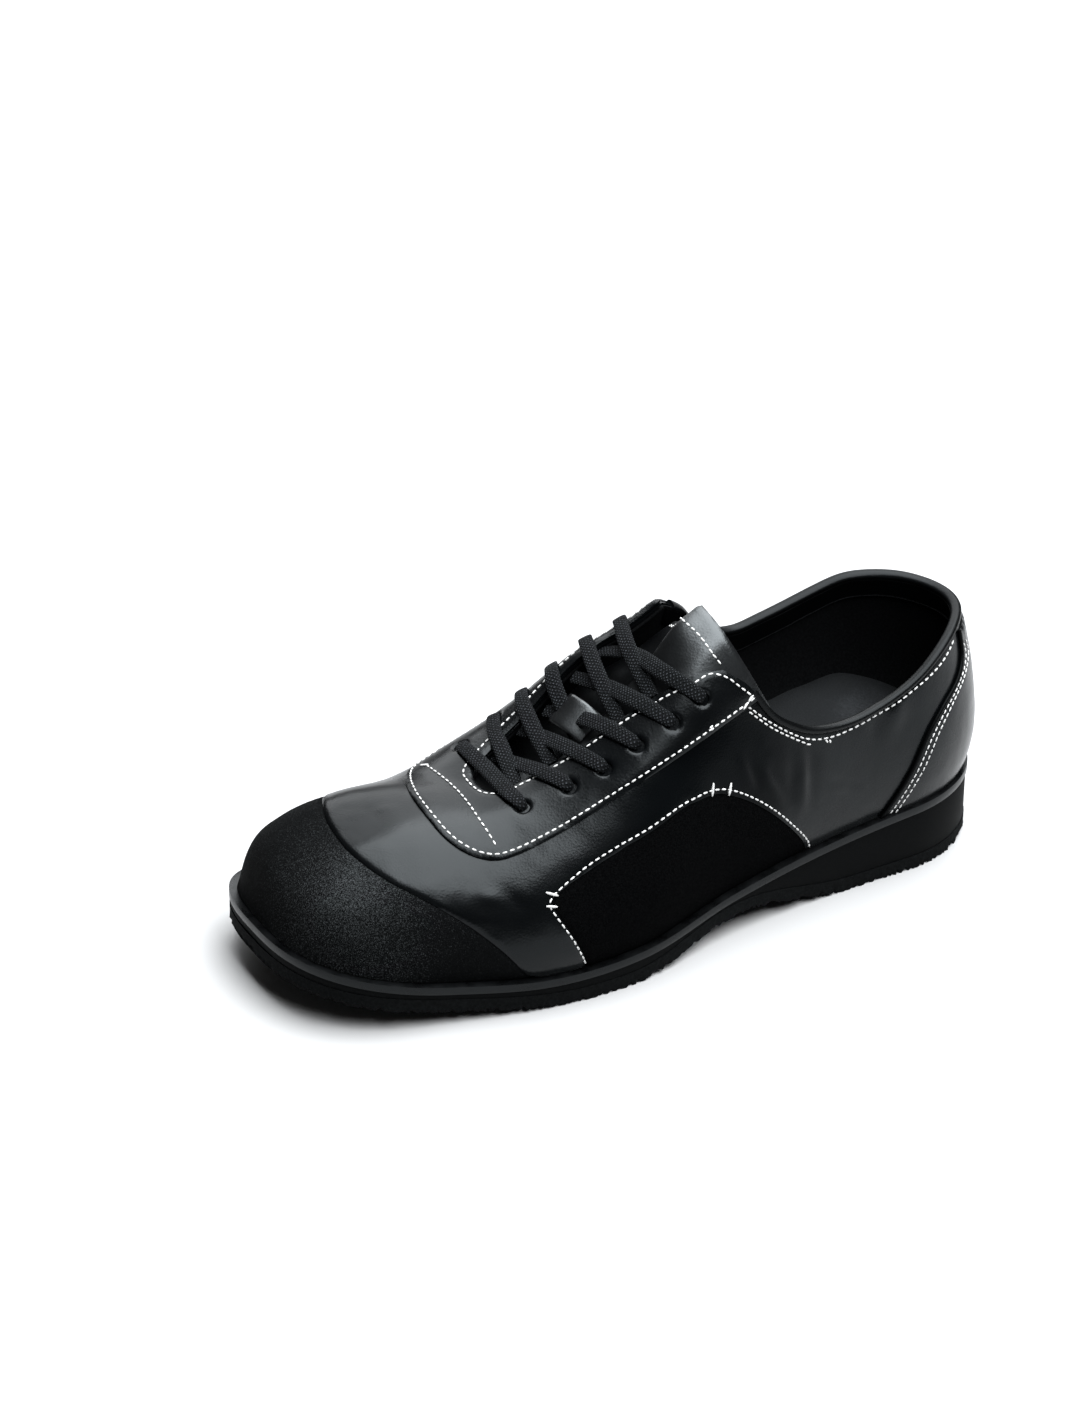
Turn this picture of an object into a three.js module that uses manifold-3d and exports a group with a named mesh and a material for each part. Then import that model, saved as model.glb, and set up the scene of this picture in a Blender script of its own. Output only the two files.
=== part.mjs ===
import * as THREE from 'three'
import { mergeVertices } from 'three/addons/utils/BufferGeometryUtils.js'
import Module from 'manifold-3d'

const wasm = await Module()
wasm.setup()

// Left training shoe in leather and suede. Toe towards -X, outer side -Y, floor at z = 0.
// Millimetres.
const LENGTH = 300          // length of the sole
const BALL_WIDTH = 108      // width of the sole at the ball
const INSTEP = 130          // height of the last over the instep
const HEEL_SOLE = 29.5      // height of the sole stack at the heel
const ARCH_RISE = 8.3       // lift of the underside at the waist
const TOE_SPRING = 14       // lift of the underside at the toe
const HEEL_ROUND = 41.6     // length of the rounded heel end
const TOE_ROUND = 56.3      // length of the rounded toe end
const TOE_TURN = 15.2       // sideways swing of the toe to the inner side
const OUTSOLE = 5.8         // crepe outsole thickness
const WELT = 3.3            // edge strip thickness
const WELT_BEVEL = 0.7      // bevel on the edge strip
const WEDGE_STEP = 0.5      // the wedge sits back from the outsole edge
const LIP = 2.8             // the edge strip stands out past the upper
const INSOLE = 3            // footbed thickness at the front
const HEEL_PAD = 13         // how much thicker the footbed is under the heel
const PAD_FALL = 5          // the pad's fall towards the heel end
const INSOLE_MARGIN = 1.3   // footbed edge to the lining
const WALL = 2.7            // leather and lining together
const RECESS = 1.7          // depth of the beds for the suede pieces
const SUEDE = 1.0           // suede thickness
const OVERLAY = 1.4         // facing leather thickness
const COUNTER = 1.1         // heel counter leather thickness
const TONGUE = 2.0          // tongue thickness
const BINDING = 1.1         // leather of the rolled collar edge
const BINDING_DROP = 3.2    // collar edge below the topline
const BINDING_RISE = 1.8    // collar edge above the topline
const EYELET = 4.2          // eyelet hole
const LACE_WIDTH = 5.4      // flat lace
const LACE_THICK = 1.4      // flat lace
const LACE_REST = 1.05      // lace above the facing leather
const LOOP_LENGTH = 11      // lace keeper along the tongue
const LOOP_WIDTH = 15       // lace keeper across the tongue
const GAP = 0.3             // clearance between neighbours

const HALF_BALL = BALL_WIDTH / 2
const SPANS = 26            // sections along the shoe
const RIBS = 9              // steps from sole to ridge
const FAR = 2 * INSTEP      // a length beyond the whole shoe

// Sections of the sole and wall, heel to toe. share = share of LENGTH from the heel,
// outer and inner = half width as a share of HALF_BALL, top = height of the sole stack as a
// share of HEEL_SOLE, squareOut and squareIn = squareness of the wall, fullOut and fullIn =
// swelling of the wall in mm.
const SECTIONS = [
  { share: 0, outer: .648, inner: .667, top: 1, squareOut: 2.5, squareIn: 2.5, fullOut: 3.2, fullIn: 3.2 },
  { share: .12, outer: .685, inner: .685, top: .976, squareOut: 2.6, squareIn: 3, fullOut: 3.6, fullIn: 4.4 },
  { share: .27, outer: .713, inner: .648, top: .831, squareOut: 2.7, squareIn: 3.6, fullOut: 4.1, fullIn: 5.8 },
  { share: .42, outer: .806, inner: .667, top: .641, squareOut: 2.65, squareIn: 3.6, fullOut: 4.4, fullIn: 5.8 },
  { share: .57, outer: 1, inner: .852, top: .468, squareOut: 2.45, squareIn: 3, fullOut: 4.4, fullIn: 4.8 },
  { share: .7, outer: 1.024, inner: .969, top: .441, squareOut: 2.35, squareIn: 2.6, fullOut: 3.2, fullIn: 3.2 },
  { share: .83, outer: .937, inner: .928, top: .569, squareOut: 2.3, squareIn: 2.4, fullOut: .8, fullIn: .8 },
  { share: 1, outer: .883, inner: .898, top: .898, squareOut: 2.25, squareIn: 2.25, fullOut: -1.5, fullIn: -1.5 },
]

// Ridge of the last: height as a share of INSTEP, drift = sideways as a share of HALF_BALL.
const RIDGE = [
  { share: 0, height: .815, drift: 0 },
  { share: .12, height: .962, drift: 0 },
  { share: .25, height: 1.03, drift: 0 },
  { share: .4, height: 1, drift: .011 },
  { share: .5, height: .788, drift: .022 },
  { share: .6, height: .608, drift: .037 },
  { share: .7, height: .515, drift: .037 },
  { share: .8, height: .512, drift: .119 },
  { share: .9, height: .435, drift: .189 },
  { share: 1, height: .292, drift: .237 },
]
const RIDGE_START = .068    // the ridge starts here, as a share of LENGTH
const RIDGE_END = .87       // and ends here

// Topline: height as a share of INSTEP, lift = how much higher the inner side runs.
const TOPLINE = [
  { share: .433, height: .873, lift: 0 },
  { share: .42, height: .848, lift: 0 },
  { share: .385, height: .777, lift: 0 },
  { share: .363, height: .694, lift: .012 },
  { share: .333, height: .636, lift: .027 },
  { share: .308, height: .604, lift: .038 },
  { share: .278, height: .586, lift: .046 },
  { share: .235, height: .582, lift: .068 },
  { share: .203, height: .595, lift: .072 },
  { share: .151, height: .632, lift: .07 },
  { share: .112, height: .673, lift: .056 },
  { share: .083, height: .7, lift: .034 },
  { share: .05, height: .721, lift: .015 },
  { share: .023, height: .728, lift: 0 },
  { share: -.1, height: .73, lift: 0 },
]
const BINDING_START = .3762 // the rolled edge starts behind the facing corner

// Throat slot seen from above: mid = middle line, half = half width, shares of HALF_BALL.
const THROAT = [
  { share: .7025, mid: .074, half: 0 },
  { share: .7, mid: .074, half: .085 },
  { share: .69, mid: .074, half: .15 },
  { share: .667, mid: .074, half: .21 },
  { share: .645, mid: .074, half: .246 },
  { share: .61, mid: .065, half: .287 },
  { share: .555, mid: .045, half: .352 },
  { share: .501, mid: .03, half: .426 },
  { share: .462, mid: .022, half: .487 },
  { share: .433, mid: .02, half: .533 },
  { share: .41, mid: .02, half: .56 },
]

// Facing (apron): front end seen from above, and lower edge seen from the side.
const APRON_FRONT = [
  [.3, -1.2], [.6, -1.1], [.7, -.74], [.724, -.6], [.75, -.565], [.777, -.42], [.791, -.2],
  [.79, .17], [.765, .5], [.733, .65], [.7, .82], [.6, 1.2], [.3, 1.2],
]
const APRON_EDGE = [
  [.381, .74], [.411, .72], [.449, .691], [.523, .627], [.591, .556], [.659, .486], [.717, .437], [.75, .36],
]

// Front end of the vamp over the suede toe cap, seen from above.
const CAP_EDGE = [
  [.71, -1.4], [.727, -1.02], [.76, -.9], [.791, -.787], [.839, -.6], [.879, -.385], [.898, -.096],
  [.896, .24], [.881, .48], [.85, .69], [.805, .86], [.765, .96], [.72, 1.02], [.7, 1.4],
]

// Window for the suede side panel, seen from the side: share of LENGTH, share of INSTEP.
const PANEL = [
  [.66, 0], [.65, .1], [.69, .305], [.693, .338], [.68, .36], [.643, .398], [.6, .437], [.554, .471],
  [.512, .503], [.485, .514], [.458, .513], [.433, .494], [.399, .445], [.364, .375], [.334, .3],
  [.309, .224], [.3, .17], [.297, .1], [.297, 0],
]

// Front edge of the heel counter, seen from the side.
const COUNTER_EDGE = [
  [.047, .8], [.051, .7], [.052, .63], [.067, .582], [.099, .534], [.128, .463], [.151, .358],
  [.186, .212], [.2, .15],
]

// Eyelets from front to back, seen from the side: share of LENGTH, share of INSTEP.
const EYELETS = [
  [.683, .523], [.626, .572], [.583, .621], [.541, .679], [.495, .731], [.4535, .784],
]

// Tongue seen from above, and its free top end, a slanted line seen from the side.
const TONGUE_EDGE = [
  [.74, .074], [.735, -.16], [.71, -.3], [.64, -.45], [.56, -.53], [.48, -.6], [.405, -.62], [.392, -.55], [.382, -.46],
  [.35, -.4], [.345, 0], [.35, .43], [.382, .49], [.392, .58], [.405, .66], [.48, .66], [.56, .61], [.64, .56],
  [.71, .45], [.735, .31],
]
const TONGUE_TOP = [[.345, .66], [.425, 1.01]]
const LOOP_SHARE = .583     // middle of the lace keeper

// Value of a table at a place, by a smooth curve through its rows.
function table(rows, at, name) {
  let i = 0
  const down = rows[0].share > rows[1].share
  const list = down ? [...rows].reverse() : rows
  while (i < list.length - 2 && at > list[i + 1].share) i++
  const slope = (a, b) => (list[b][name] - list[a][name]) / (list[b].share - list[a].share)
  const end = list.length - 1
  const tangent = (k) => {
    if (k === 0) return slope(0, 1)
    if (k === end) return slope(end - 1, end)
    const before = list[k].share - list[k - 1].share
    const after = list[k + 1].share - list[k].share
    return (slope(k - 1, k) * after + slope(k, k + 1) * before) / (before + after)
  }
  const span = list[i + 1].share - list[i].share
  const t = THREE.MathUtils.clamp((at - list[i].share) / span, 0, 1)
  const t2 = t * t
  const t3 = t2 * t
  return (2 * t3 - 3 * t2 + 1) * list[i][name] + (t3 - 2 * t2 + t) * span * tangent(i) +
    (3 * t2 - 2 * t3) * list[i + 1][name] + (t3 - t2) * span * tangent(i + 1)
}

const alongX = (share) => LENGTH * (0.5 - share)
const shareOf = (x) => 0.5 - x / LENGTH
const soleTop = (share) => HEEL_SOLE * table(SECTIONS, share, 'top')

// Underside: flat under the heel and the ball, arched between, sprung up at the toe.
function underside(share) {
  const arch = share > .22 && share < .6 ? Math.sin(Math.PI * (share - .22) / .38) ** 2 : 0
  const spring = Math.max(0, (share - .655) / .345) ** 1.4
  return ARCH_RISE * arch + TOE_SPRING * spring
}

const STATIONS = Array.from({ length: SPANS + 1 }, (_, k) => (1 - Math.cos(Math.PI * k / SPANS)) / 2)

// One side of the sole's outline: point and outward direction at each station.
function outlineSide(sign) {
  const points = STATIONS.map((share) => {
    const fromHeel = share * LENGTH
    const toToe = LENGTH - fromHeel
    let round = 1
    if (fromHeel < HEEL_ROUND) {
      round = Math.max(0, 1 - Math.abs(1 - fromHeel / HEEL_ROUND) ** 2.08) ** (1 / 2.08)
    }
    if (toToe < TOE_ROUND) round = Math.max(0, 1 - Math.abs(1 - toToe / TOE_ROUND) ** 2.87) ** (1 / 2.87)
    const half = HALF_BALL * table(SECTIONS, share, sign < 0 ? 'outer' : 'inner')
    const turn = TOE_TURN * Math.max(0, 2 * share - 1) ** 2
    return new THREE.Vector2(alongX(share), sign * half * round + turn)
  })
  return points.map((point, k) => {
    const ahead = points[Math.min(k + 1, SPANS)].clone().sub(points[Math.max(k - 1, 0)])
    let out = new THREE.Vector2(-ahead.y, ahead.x).normalize()
    if (out.y * sign < 0) out.negate()
    if (k === 0) out = new THREE.Vector2(1, 0)
    if (k === SPANS) out = new THREE.Vector2(-1, 0)
    return { point, out }
  })
}
const OUTER = outlineSide(-1)
const INNER = outlineSide(1)

function solidFrom(positions, triangles) {
  const mesh = new wasm.Mesh({
    numProp: 3,
    vertProperties: new Float32Array(positions.flat()),
    triVerts: new Uint32Array(triangles.flat()),
  })
  return new wasm.Manifold(mesh)
}

// Sheet of the sole: rings of the outline stacked from bottom to top, each with its own inset.
function soleLayer(rings) {
  const positions = []
  const triangles = []
  const loop = [...STATIONS.keys()].map((k) => [OUTER, k])
  for (let k = SPANS - 1; k > 0; k--) loop.push([INNER, k])
  const count = loop.length
  for (const ring of rings) {
    for (const [side, k] of loop) {
      const { point, out } = side[k]
      const x = point.x - out.x * ring.inset
      const y = point.y - out.y * ring.inset
      positions.push([x, y, ring.height(shareOf(x))])
    }
  }
  const mate = (k) => (k === 0 || k === SPANS ? k : count - k)
  const strip = (base, up) => {
    for (let k = 0; k < SPANS; k++) {
      const a = base + k
      const b = base + k + 1
      const c = base + mate(k + 1)
      const d = base + mate(k)
      for (const t of [[a, b, c], [a, c, d]]) {
        if (new Set(t).size === 3) triangles.push(up ? t : [t[0], t[2], t[1]])
      }
    }
  }
  strip(0, true)
  for (let r = 0; r < rings.length - 1; r++) {
    for (let i = 0; i < count; i++) {
      const a = r * count + i
      const b = r * count + (i + 1) % count
      triangles.push([a, a + count, b + count], [a, b + count, b])
    }
  }
  strip((rings.length - 1) * count, false)
  return solidFrom(positions, triangles)
}

// Grid of the last: ribs rise from the foot of the wall to the ridge on both sides.
function lastGrid() {
  const positions = []
  const index = new Map()
  const id = (side, k, j) => {
    const own = k === 0 || k === SPANS || j === RIBS ? 0 : side
    return index.get(`${own} ${k} ${j}`)
  }
  for (const side of [0, 1]) {
    for (let k = 0; k <= SPANS; k++) {
      for (let j = 0; j <= RIBS; j++) {
        const shared = k === 0 || k === SPANS || j === RIBS
        if (side === 1 && shared) continue
        const share = STATIONS[k]
        const { point, out } = (side === 0 ? OUTER : INNER)[k]
        const square = table(SECTIONS, share, side === 0 ? 'squareOut' : 'squareIn')
        const full = table(SECTIONS, share, side === 0 ? 'fullOut' : 'fullIn')
        const ridgeShare = RIDGE_START + (RIDGE_END - RIDGE_START) * share
        const ridgeX = alongX(ridgeShare)
        const ridgeY = HALF_BALL * table(RIDGE, ridgeShare, 'drift')
        const ridgeZ = INSTEP * table(RIDGE, ridgeShare, 'height')
        const turn = Math.PI / 2 * j / RIBS
        const level = j === RIBS ? 0 : Math.cos(turn) ** (2 / square)
        const rise = j === 0 ? 0 : Math.sin(turn) ** (2 / square)
        const swell = full * 9.48 * rise * (1 - rise) ** 3
        const footX = point.x - out.x * LIP
        const footY = point.y - out.y * LIP
        const footZ = soleTop(shareOf(footX)) + GAP
        index.set(`${side} ${k} ${j}`, positions.length)
        positions.push(new THREE.Vector3(
          ridgeX + (footX - ridgeX) * level + out.x * swell,
          ridgeY + (footY - ridgeY) * level + out.y * swell,
          footZ + (ridgeZ - footZ) * rise,
        ))
      }
    }
  }
  const triangles = []
  for (const side of [0, 1]) {
    for (let k = 0; k < SPANS; k++) {
      for (let j = 0; j < RIBS; j++) {
        const a = id(side, k, j)
        const b = id(side, k + 1, j)
        const c = id(side, k + 1, j + 1)
        const d = id(side, k, j + 1)
        for (const t of [[a, c, b], [a, d, c]]) {
          if (new Set(t).size === 3) triangles.push(side === 0 ? t : [t[0], t[2], t[1]])
        }
      }
    }
  }
  const normals = positions.map(() => new THREE.Vector3())
  for (const [a, b, c] of triangles) {
    const n = positions[b].clone().sub(positions[a]).cross(positions[c].clone().sub(positions[a]))
    for (const v of [a, b, c]) normals[v].add(n)
  }
  const feet = { outer: [], inner: [] }
  for (let k = 0; k <= SPANS; k++) {
    feet.outer.push(id(0, k, 0))
    feet.inner.push(id(1, k, 0))
  }
  for (const v of [...feet.outer, ...feet.inner]) normals[v].z = 0
  normals.forEach((n) => n.normalize())
  return { positions, triangles, normals, feet }
}
const LAST = lastGrid()

// The last grown or shrunk by an offset. A skirt carries its foot below the sole top.
function last(offset, skirt = 0) {
  const positions = LAST.positions.map((p, i) => p.clone().addScaledVector(LAST.normals[i], offset))
  const triangles = LAST.triangles.map((t) => [...t])
  let { outer, inner } = LAST.feet
  if (skirt > 0) {
    const low = new Map()
    for (const v of [...outer, ...inner]) {
      if (low.has(v)) continue
      low.set(v, positions.length)
      positions.push(positions[v].clone().setZ(positions[v].z - skirt))
    }
    for (let k = 0; k < SPANS; k++) {
      for (const [side, flip] of [[outer, false], [inner, true]]) {
        const [a, b] = [side[k], side[k + 1]]
        const quad = [[a, b, low.get(b)], [a, low.get(b), low.get(a)]]
        for (const t of quad) triangles.push(flip ? [t[0], t[2], t[1]] : t)
      }
    }
    outer = outer.map((v) => low.get(v))
    inner = inner.map((v) => low.get(v))
  }
  for (let k = 0; k < SPANS; k++) {
    for (const t of [[outer[k], outer[k + 1], inner[k + 1]], [outer[k], inner[k + 1], inner[k]]]) {
      if (new Set(t).size === 3) triangles.push(t)
    }
  }
  return solidFrom(positions.map((p) => p.toArray()), triangles)
}

function geometrySolid(geometry) {
  geometry.deleteAttribute('normal')
  geometry.deleteAttribute('uv')
  const merged = mergeVertices(geometry, 1e-4)
  const at = merged.attributes.position
  const positions = []
  for (let i = 0; i < at.count; i++) positions.push([at.getX(i), at.getY(i), at.getZ(i)])
  const triangles = []
  for (let i = 0; i < merged.index.count; i += 3) {
    triangles.push([merged.index.getX(i), merged.index.getX(i + 1), merged.index.getX(i + 2)])
  }
  return solidFrom(positions, triangles)
}

const smooth = (points, count) => new THREE.SplineCurve(points).getPoints(count)
const seenAbove = ([share, across]) => new THREE.Vector2(alongX(share), across * HALF_BALL)
const seenAside = ([share, height]) => new THREE.Vector2(alongX(share), height * INSTEP)

// Closed outline moved inwards by a distance.
function inset(points, distance) {
  const area = THREE.ShapeUtils.area(points)
  return points.map((p, i) => {
    const before = points[(i + points.length - 1) % points.length]
    const after = points[(i + 1) % points.length]
    const along = after.clone().sub(before).normalize()
    const left = new THREE.Vector2(-along.y, along.x).multiplyScalar(Math.sign(area))
    return p.clone().addScaledVector(left, distance)
  })
}

// Outline seen from above, made into an upright block.
function blockAbove(points, low, high) {
  const geometry = new THREE.ExtrudeGeometry(new THREE.Shape(points), {
    depth: high - low, steps: 1, bevelEnabled: false,
  })
  geometry.translate(0, 0, low)
  return geometrySolid(geometry)
}

// Outline seen from the side, made into a block from y = from to y = to.
function blockAside(points, from, to) {
  const geometry = new THREE.ExtrudeGeometry(new THREE.Shape(points), {
    depth: to - from, steps: 1, bevelEnabled: false,
  })
  geometry.rotateX(Math.PI / 2)
  geometry.translate(0, to, 0)
  return geometrySolid(geometry)
}

// Everything above the topline, moved up or down. The inner side runs higher.
function aboveTopline(shift, start = TOPLINE[0].share) {
  const first = TOPLINE[0].share
  const final = TOPLINE[TOPLINE.length - 1].share
  const steps = 20
  const shares = [start]
  for (let i = 0; i <= steps; i++) {
    const share = first + (final - first) * i / steps
    if (share < start - .001) shares.push(share)
  }
  const points = [new THREE.Vector2(alongX(start), FAR)]
  for (const share of shares) {
    points.push(new THREE.Vector2(alongX(share), INSTEP * table(TOPLINE, share, 'height') + shift))
  }
  points.push(new THREE.Vector2(alongX(final), FAR))
  const geometry = new THREE.ExtrudeGeometry(new THREE.Shape(points), {
    depth: BALL_WIDTH, steps: 1, bevelEnabled: false,
  })
  geometry.rotateX(Math.PI / 2)
  geometry.translate(0, HALF_BALL, 0)
  const at = geometry.attributes.position
  for (let i = 0; i < at.count; i++) {
    if (at.getZ(i) > FAR - 1) continue
    const share = shareOf(at.getX(i))
    const lift = INSTEP * table(TOPLINE, share, 'lift')
    at.setZ(i, at.getZ(i) + lift * (0.5 + at.getY(i) / (1.33 * HALF_BALL)))
  }
  return geometrySolid(geometry)
}

// Throat slot outline, closed at its round front end.
function throatOutline(margin) {
  const near = []
  const far = []
  const steps = 14
  const first = THROAT[0].share
  const final = THROAT[THROAT.length - 1].share
  for (let i = 0; i <= steps; i++) {
    const share = first + (final - first) * (i / steps) ** 1.7
    const mid = HALF_BALL * table(THROAT, share, 'mid')
    const half = Math.max(0, HALF_BALL * table(THROAT, share, 'half')) + margin
    near.push(new THREE.Vector2(alongX(share), mid - half))
    far.push(new THREE.Vector2(alongX(share), mid + half))
  }
  return [...near, ...far.reverse().slice(0, margin > 0 ? undefined : -1)]
}

const SKIRT = HEEL_SOLE / 2
const topline = aboveTopline(0)
const throat = blockAbove(throatOutline(0), INSTEP * .3, FAR)

// Farthest point of the last's skin along a ray, with the skin's outward direction there.
function skin(origin, direction) {
  let best = null
  const hit = new THREE.Vector3()
  for (const [a, b, c] of LAST.triangles) {
    const [p, q, r] = [LAST.positions[a], LAST.positions[b], LAST.positions[c]]
    const one = q.clone().sub(p)
    const two = r.clone().sub(p)
    const cross = direction.clone().cross(two)
    const whole = one.dot(cross)
    if (Math.abs(whole) < 1e-9) continue
    const start = origin.clone().sub(p)
    const v = start.dot(cross) / whole
    const turned = start.cross(one)
    const w = direction.dot(turned) / whole
    if (v < -1e-6 || w < -1e-6 || v + w > 1 + 1e-6) continue
    const away = two.dot(turned) / whole
    if (away < 0 || (best && best.away > away)) continue
    hit.copy(origin).addScaledVector(direction, away)
    const out = LAST.normals[a].clone().multiplyScalar(1 - v - w)
    out.addScaledVector(LAST.normals[b], v).addScaledVector(LAST.normals[c], w).normalize()
    best = { away, point: hit.clone(), out }
  }
  return best
}

// Points of the skin over the throat are found from a line inside the last, by the angle off
// the upright.
const innerHeight = INSTEP * .3
const midLine = (x) => HALF_BALL * table(THROAT, shareOf(x), 'mid')
const skinAt = (x, angle) => skin(
  new THREE.Vector3(x, midLine(x), innerHeight), new THREE.Vector3(0, Math.sin(angle), Math.cos(angle)))
const angleOf = (point) => Math.atan2(point.y - midLine(point.x), point.z - innerHeight)

const eyeletPlace = (i, sign) => {
  const [share, height] = EYELETS[i]
  const x = alongX(share)
  return skin(new THREE.Vector3(x, midLine(x), height * INSTEP), new THREE.Vector3(0, sign, 0))
}

// Punched eyelet holes, square to the skin.
function eyeletHoles() {
  let holes = null
  for (let i = 0; i < EYELETS.length; i++) {
    for (const sign of [-1, 1]) {
      const { point, out } = eyeletPlace(i, sign)
      const depth = 4 * (WALL + OVERLAY)
      const hole = new THREE.CylinderGeometry(EYELET / 2, EYELET / 2, depth, 6)
      const turn = new THREE.Quaternion().setFromUnitVectors(new THREE.Vector3(0, 1, 0), out)
      hole.applyQuaternion(turn)
      hole.translate(point.x, point.y, point.z)
      const solid = geometrySolid(hole)
      holes = holes ? holes.add(solid) : solid
    }
  }
  return holes
}
const eyelets = eyeletHoles()

// Suede beds: the outline's block without the last shrunk to the bed's floor.
const capPoints = [
  ...smooth(CAP_EDGE.map(seenAbove), 22),
  new THREE.Vector2(alongX(1.1), HALF_BALL * 1.5), new THREE.Vector2(alongX(1.1), -HALF_BALL * 1.5),
]
const panelPoints = smooth(PANEL.map(seenAside), 28)
const bedFloor = last(-RECESS, SKIRT)
const capBed = blockAbove(capPoints, -INSTEP, FAR)
const panelBeds = {
  lateral: blockAside(panelPoints, -BALL_WIDTH, -HALF_BALL / 4),
  medial: blockAside(panelPoints, HALF_BALL / 4, BALL_WIDTH),
}

let upper = last(0).subtract(last(-WALL, SKIRT))
upper = upper.subtract(topline).subtract(throat).subtract(eyelets)
for (const bed of [capBed, panelBeds.lateral, panelBeds.medial]) {
  upper = upper.subtract(bed.subtract(bedFloor))
}

const suedeSheet = last(SUEDE + GAP - RECESS).subtract(last(GAP - RECESS, SKIRT))
const toeCap = suedeSheet.intersect(blockAbove(inset(capPoints, GAP), -INSTEP, FAR))
const panelInside = inset(panelPoints, GAP)
const panelLateral = suedeSheet.intersect(blockAside(panelInside, -BALL_WIDTH, -HALF_BALL / 4))
const panelMedial = suedeSheet.intersect(blockAside(panelInside, HALF_BALL / 4, BALL_WIDTH))

// Facing with the eyelets, its front end rounded over the vamp.
const apronFront = blockAbove(smooth(APRON_FRONT.map(seenAbove), 26), 0, FAR)
const apronSide = blockAside([
  ...smooth(APRON_EDGE.map(seenAside), 12),
  new THREE.Vector2(alongX(1), INSTEP * .3), new THREE.Vector2(alongX(1), FAR),
  new THREE.Vector2(alongX(APRON_EDGE[0][0]), FAR),
], -BALL_WIDTH, BALL_WIDTH)
const facing = last(GAP + OVERLAY).subtract(last(GAP, SKIRT)).intersect(apronFront).intersect(apronSide)
  .subtract(topline).subtract(throat).subtract(eyelets)

// Heel counter around the back, below the rolled collar edge.
const counterBlock = blockAside([
  ...smooth(COUNTER_EDGE.map(seenAside), 20),
  new THREE.Vector2(alongX(-.1), 0), new THREE.Vector2(alongX(-.1), INSTEP),
], -BALL_WIDTH, BALL_WIDTH)
const counter = last(GAP + COUNTER).subtract(last(GAP, SKIRT)).intersect(counterBlock)
  .subtract(aboveTopline(-BINDING_DROP - GAP))

// Rolled collar edge: a channel that sits over the topline.
const bindingBlock = aboveTopline(-BINDING_DROP, BINDING_START)
  .subtract(aboveTopline(BINDING_RISE, BINDING_START + .05))
const channel = last(GAP).subtract(last(-WALL - GAP, SKIRT)).subtract(aboveTopline(GAP))
const binding = last(GAP + BINDING).subtract(last(-WALL - GAP - BINDING, SKIRT))
  .intersect(bindingBlock).subtract(channel)

const tongueOutline = smooth([...TONGUE_EDGE, TONGUE_EDGE[0]].map(seenAbove), 36).slice(0, -1)
const tongueSide = blockAside([
  ...TONGUE_TOP.map(seenAside), new THREE.Vector2(alongX(TONGUE_TOP[1][0]), FAR),
  new THREE.Vector2(alongX(1), FAR), new THREE.Vector2(alongX(1), INSTEP * .1),
  new THREE.Vector2(alongX(TONGUE_TOP[0][0]), INSTEP * .1),
], -BALL_WIDTH, BALL_WIDTH)
const tongue = last(-WALL - GAP).subtract(last(-WALL - GAP - TONGUE, SKIRT))
  .intersect(blockAbove(tongueOutline, INSTEP * .3, FAR)).intersect(tongueSide)

const loopX = alongX(LOOP_SHARE)
const loopY = HALF_BALL * table(THROAT, LOOP_SHARE, 'mid')
const loopOutline = [[-1, -1], [1, -1], [1, 1], [-1, 1]].map(([u, v]) => (
  new THREE.Vector2(loopX + u * LOOP_LENGTH / 2, loopY + v * LOOP_WIDTH / 2)))
const tongueLoop = last(OVERLAY - WALL).subtract(last(-WALL, SKIRT))
  .intersect(blockAbove(loopOutline, INSTEP * .3, FAR))

// Flat lace laid over the skin between two places, each an x and an angle off the upright.
const LACE_LIFT = GAP + OVERLAY + LACE_REST + LACE_THICK / 2
function lace(from, to) {
  const steps = 8
  const middle = []
  for (let i = 0; i <= steps; i++) {
    const t = i / steps
    middle.push(skinAt(from.x + (to.x - from.x) * t, from.angle + (to.angle - from.angle) * t))
  }
  const positions = []
  middle.forEach(({ point, out }, i) => {
    const ahead = middle[Math.min(i + 1, steps)].point
    const forward = ahead.clone().sub(middle[Math.max(i - 1, 0)].point)
    forward.addScaledVector(out, -forward.dot(out)).normalize()
    const side = forward.clone().cross(out)
    for (const [u, v] of [[-1, -1], [1, -1], [1, 1], [-1, 1]]) {
      const corner = point.clone().addScaledVector(out, LACE_LIFT + v * LACE_THICK / 2)
      positions.push(corner.addScaledVector(side, u * LACE_WIDTH / 2).toArray())
    }
  })
  const triangles = [[0, 1, 2], [0, 2, 3]]
  for (let i = 0; i < steps; i++) {
    for (let k = 0; k < 4; k++) {
      const a = 4 * i + k
      const b = 4 * i + (k + 1) % 4
      triangles.push([a, b + 4, b], [a, a + 4, b + 4])
    }
  }
  const end = 4 * steps
  triangles.push([end, end + 2, end + 1], [end, end + 3, end + 2])
  return solidFrom(positions, triangles)
}

const laceAtEyelet = (i, sign) => {
  const { point } = eyeletPlace(i, sign)
  return { x: point.x, angle: angleOf(point) }
}

// Each crossing starts at both eyelets of its row and ends at the throat edge, ahead of the
// row below.
function crossing(i) {
  const strand = (sign) => {
    const x = laceAtEyelet(i - 1, -sign).x + LACE_WIDTH * (i === 1 ? 1.25 : .6)
    const half = HALF_BALL * table(THROAT, shareOf(x), 'half') - LACE_THICK
    const edge = skin(new THREE.Vector3(x, midLine(x) - sign * half, innerHeight), new THREE.Vector3(0, 0, 1))
    return lace(laceAtEyelet(i, sign), { x, angle: angleOf(edge.point) })
  }
  return strand(-1).add(strand(1))
}

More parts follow.
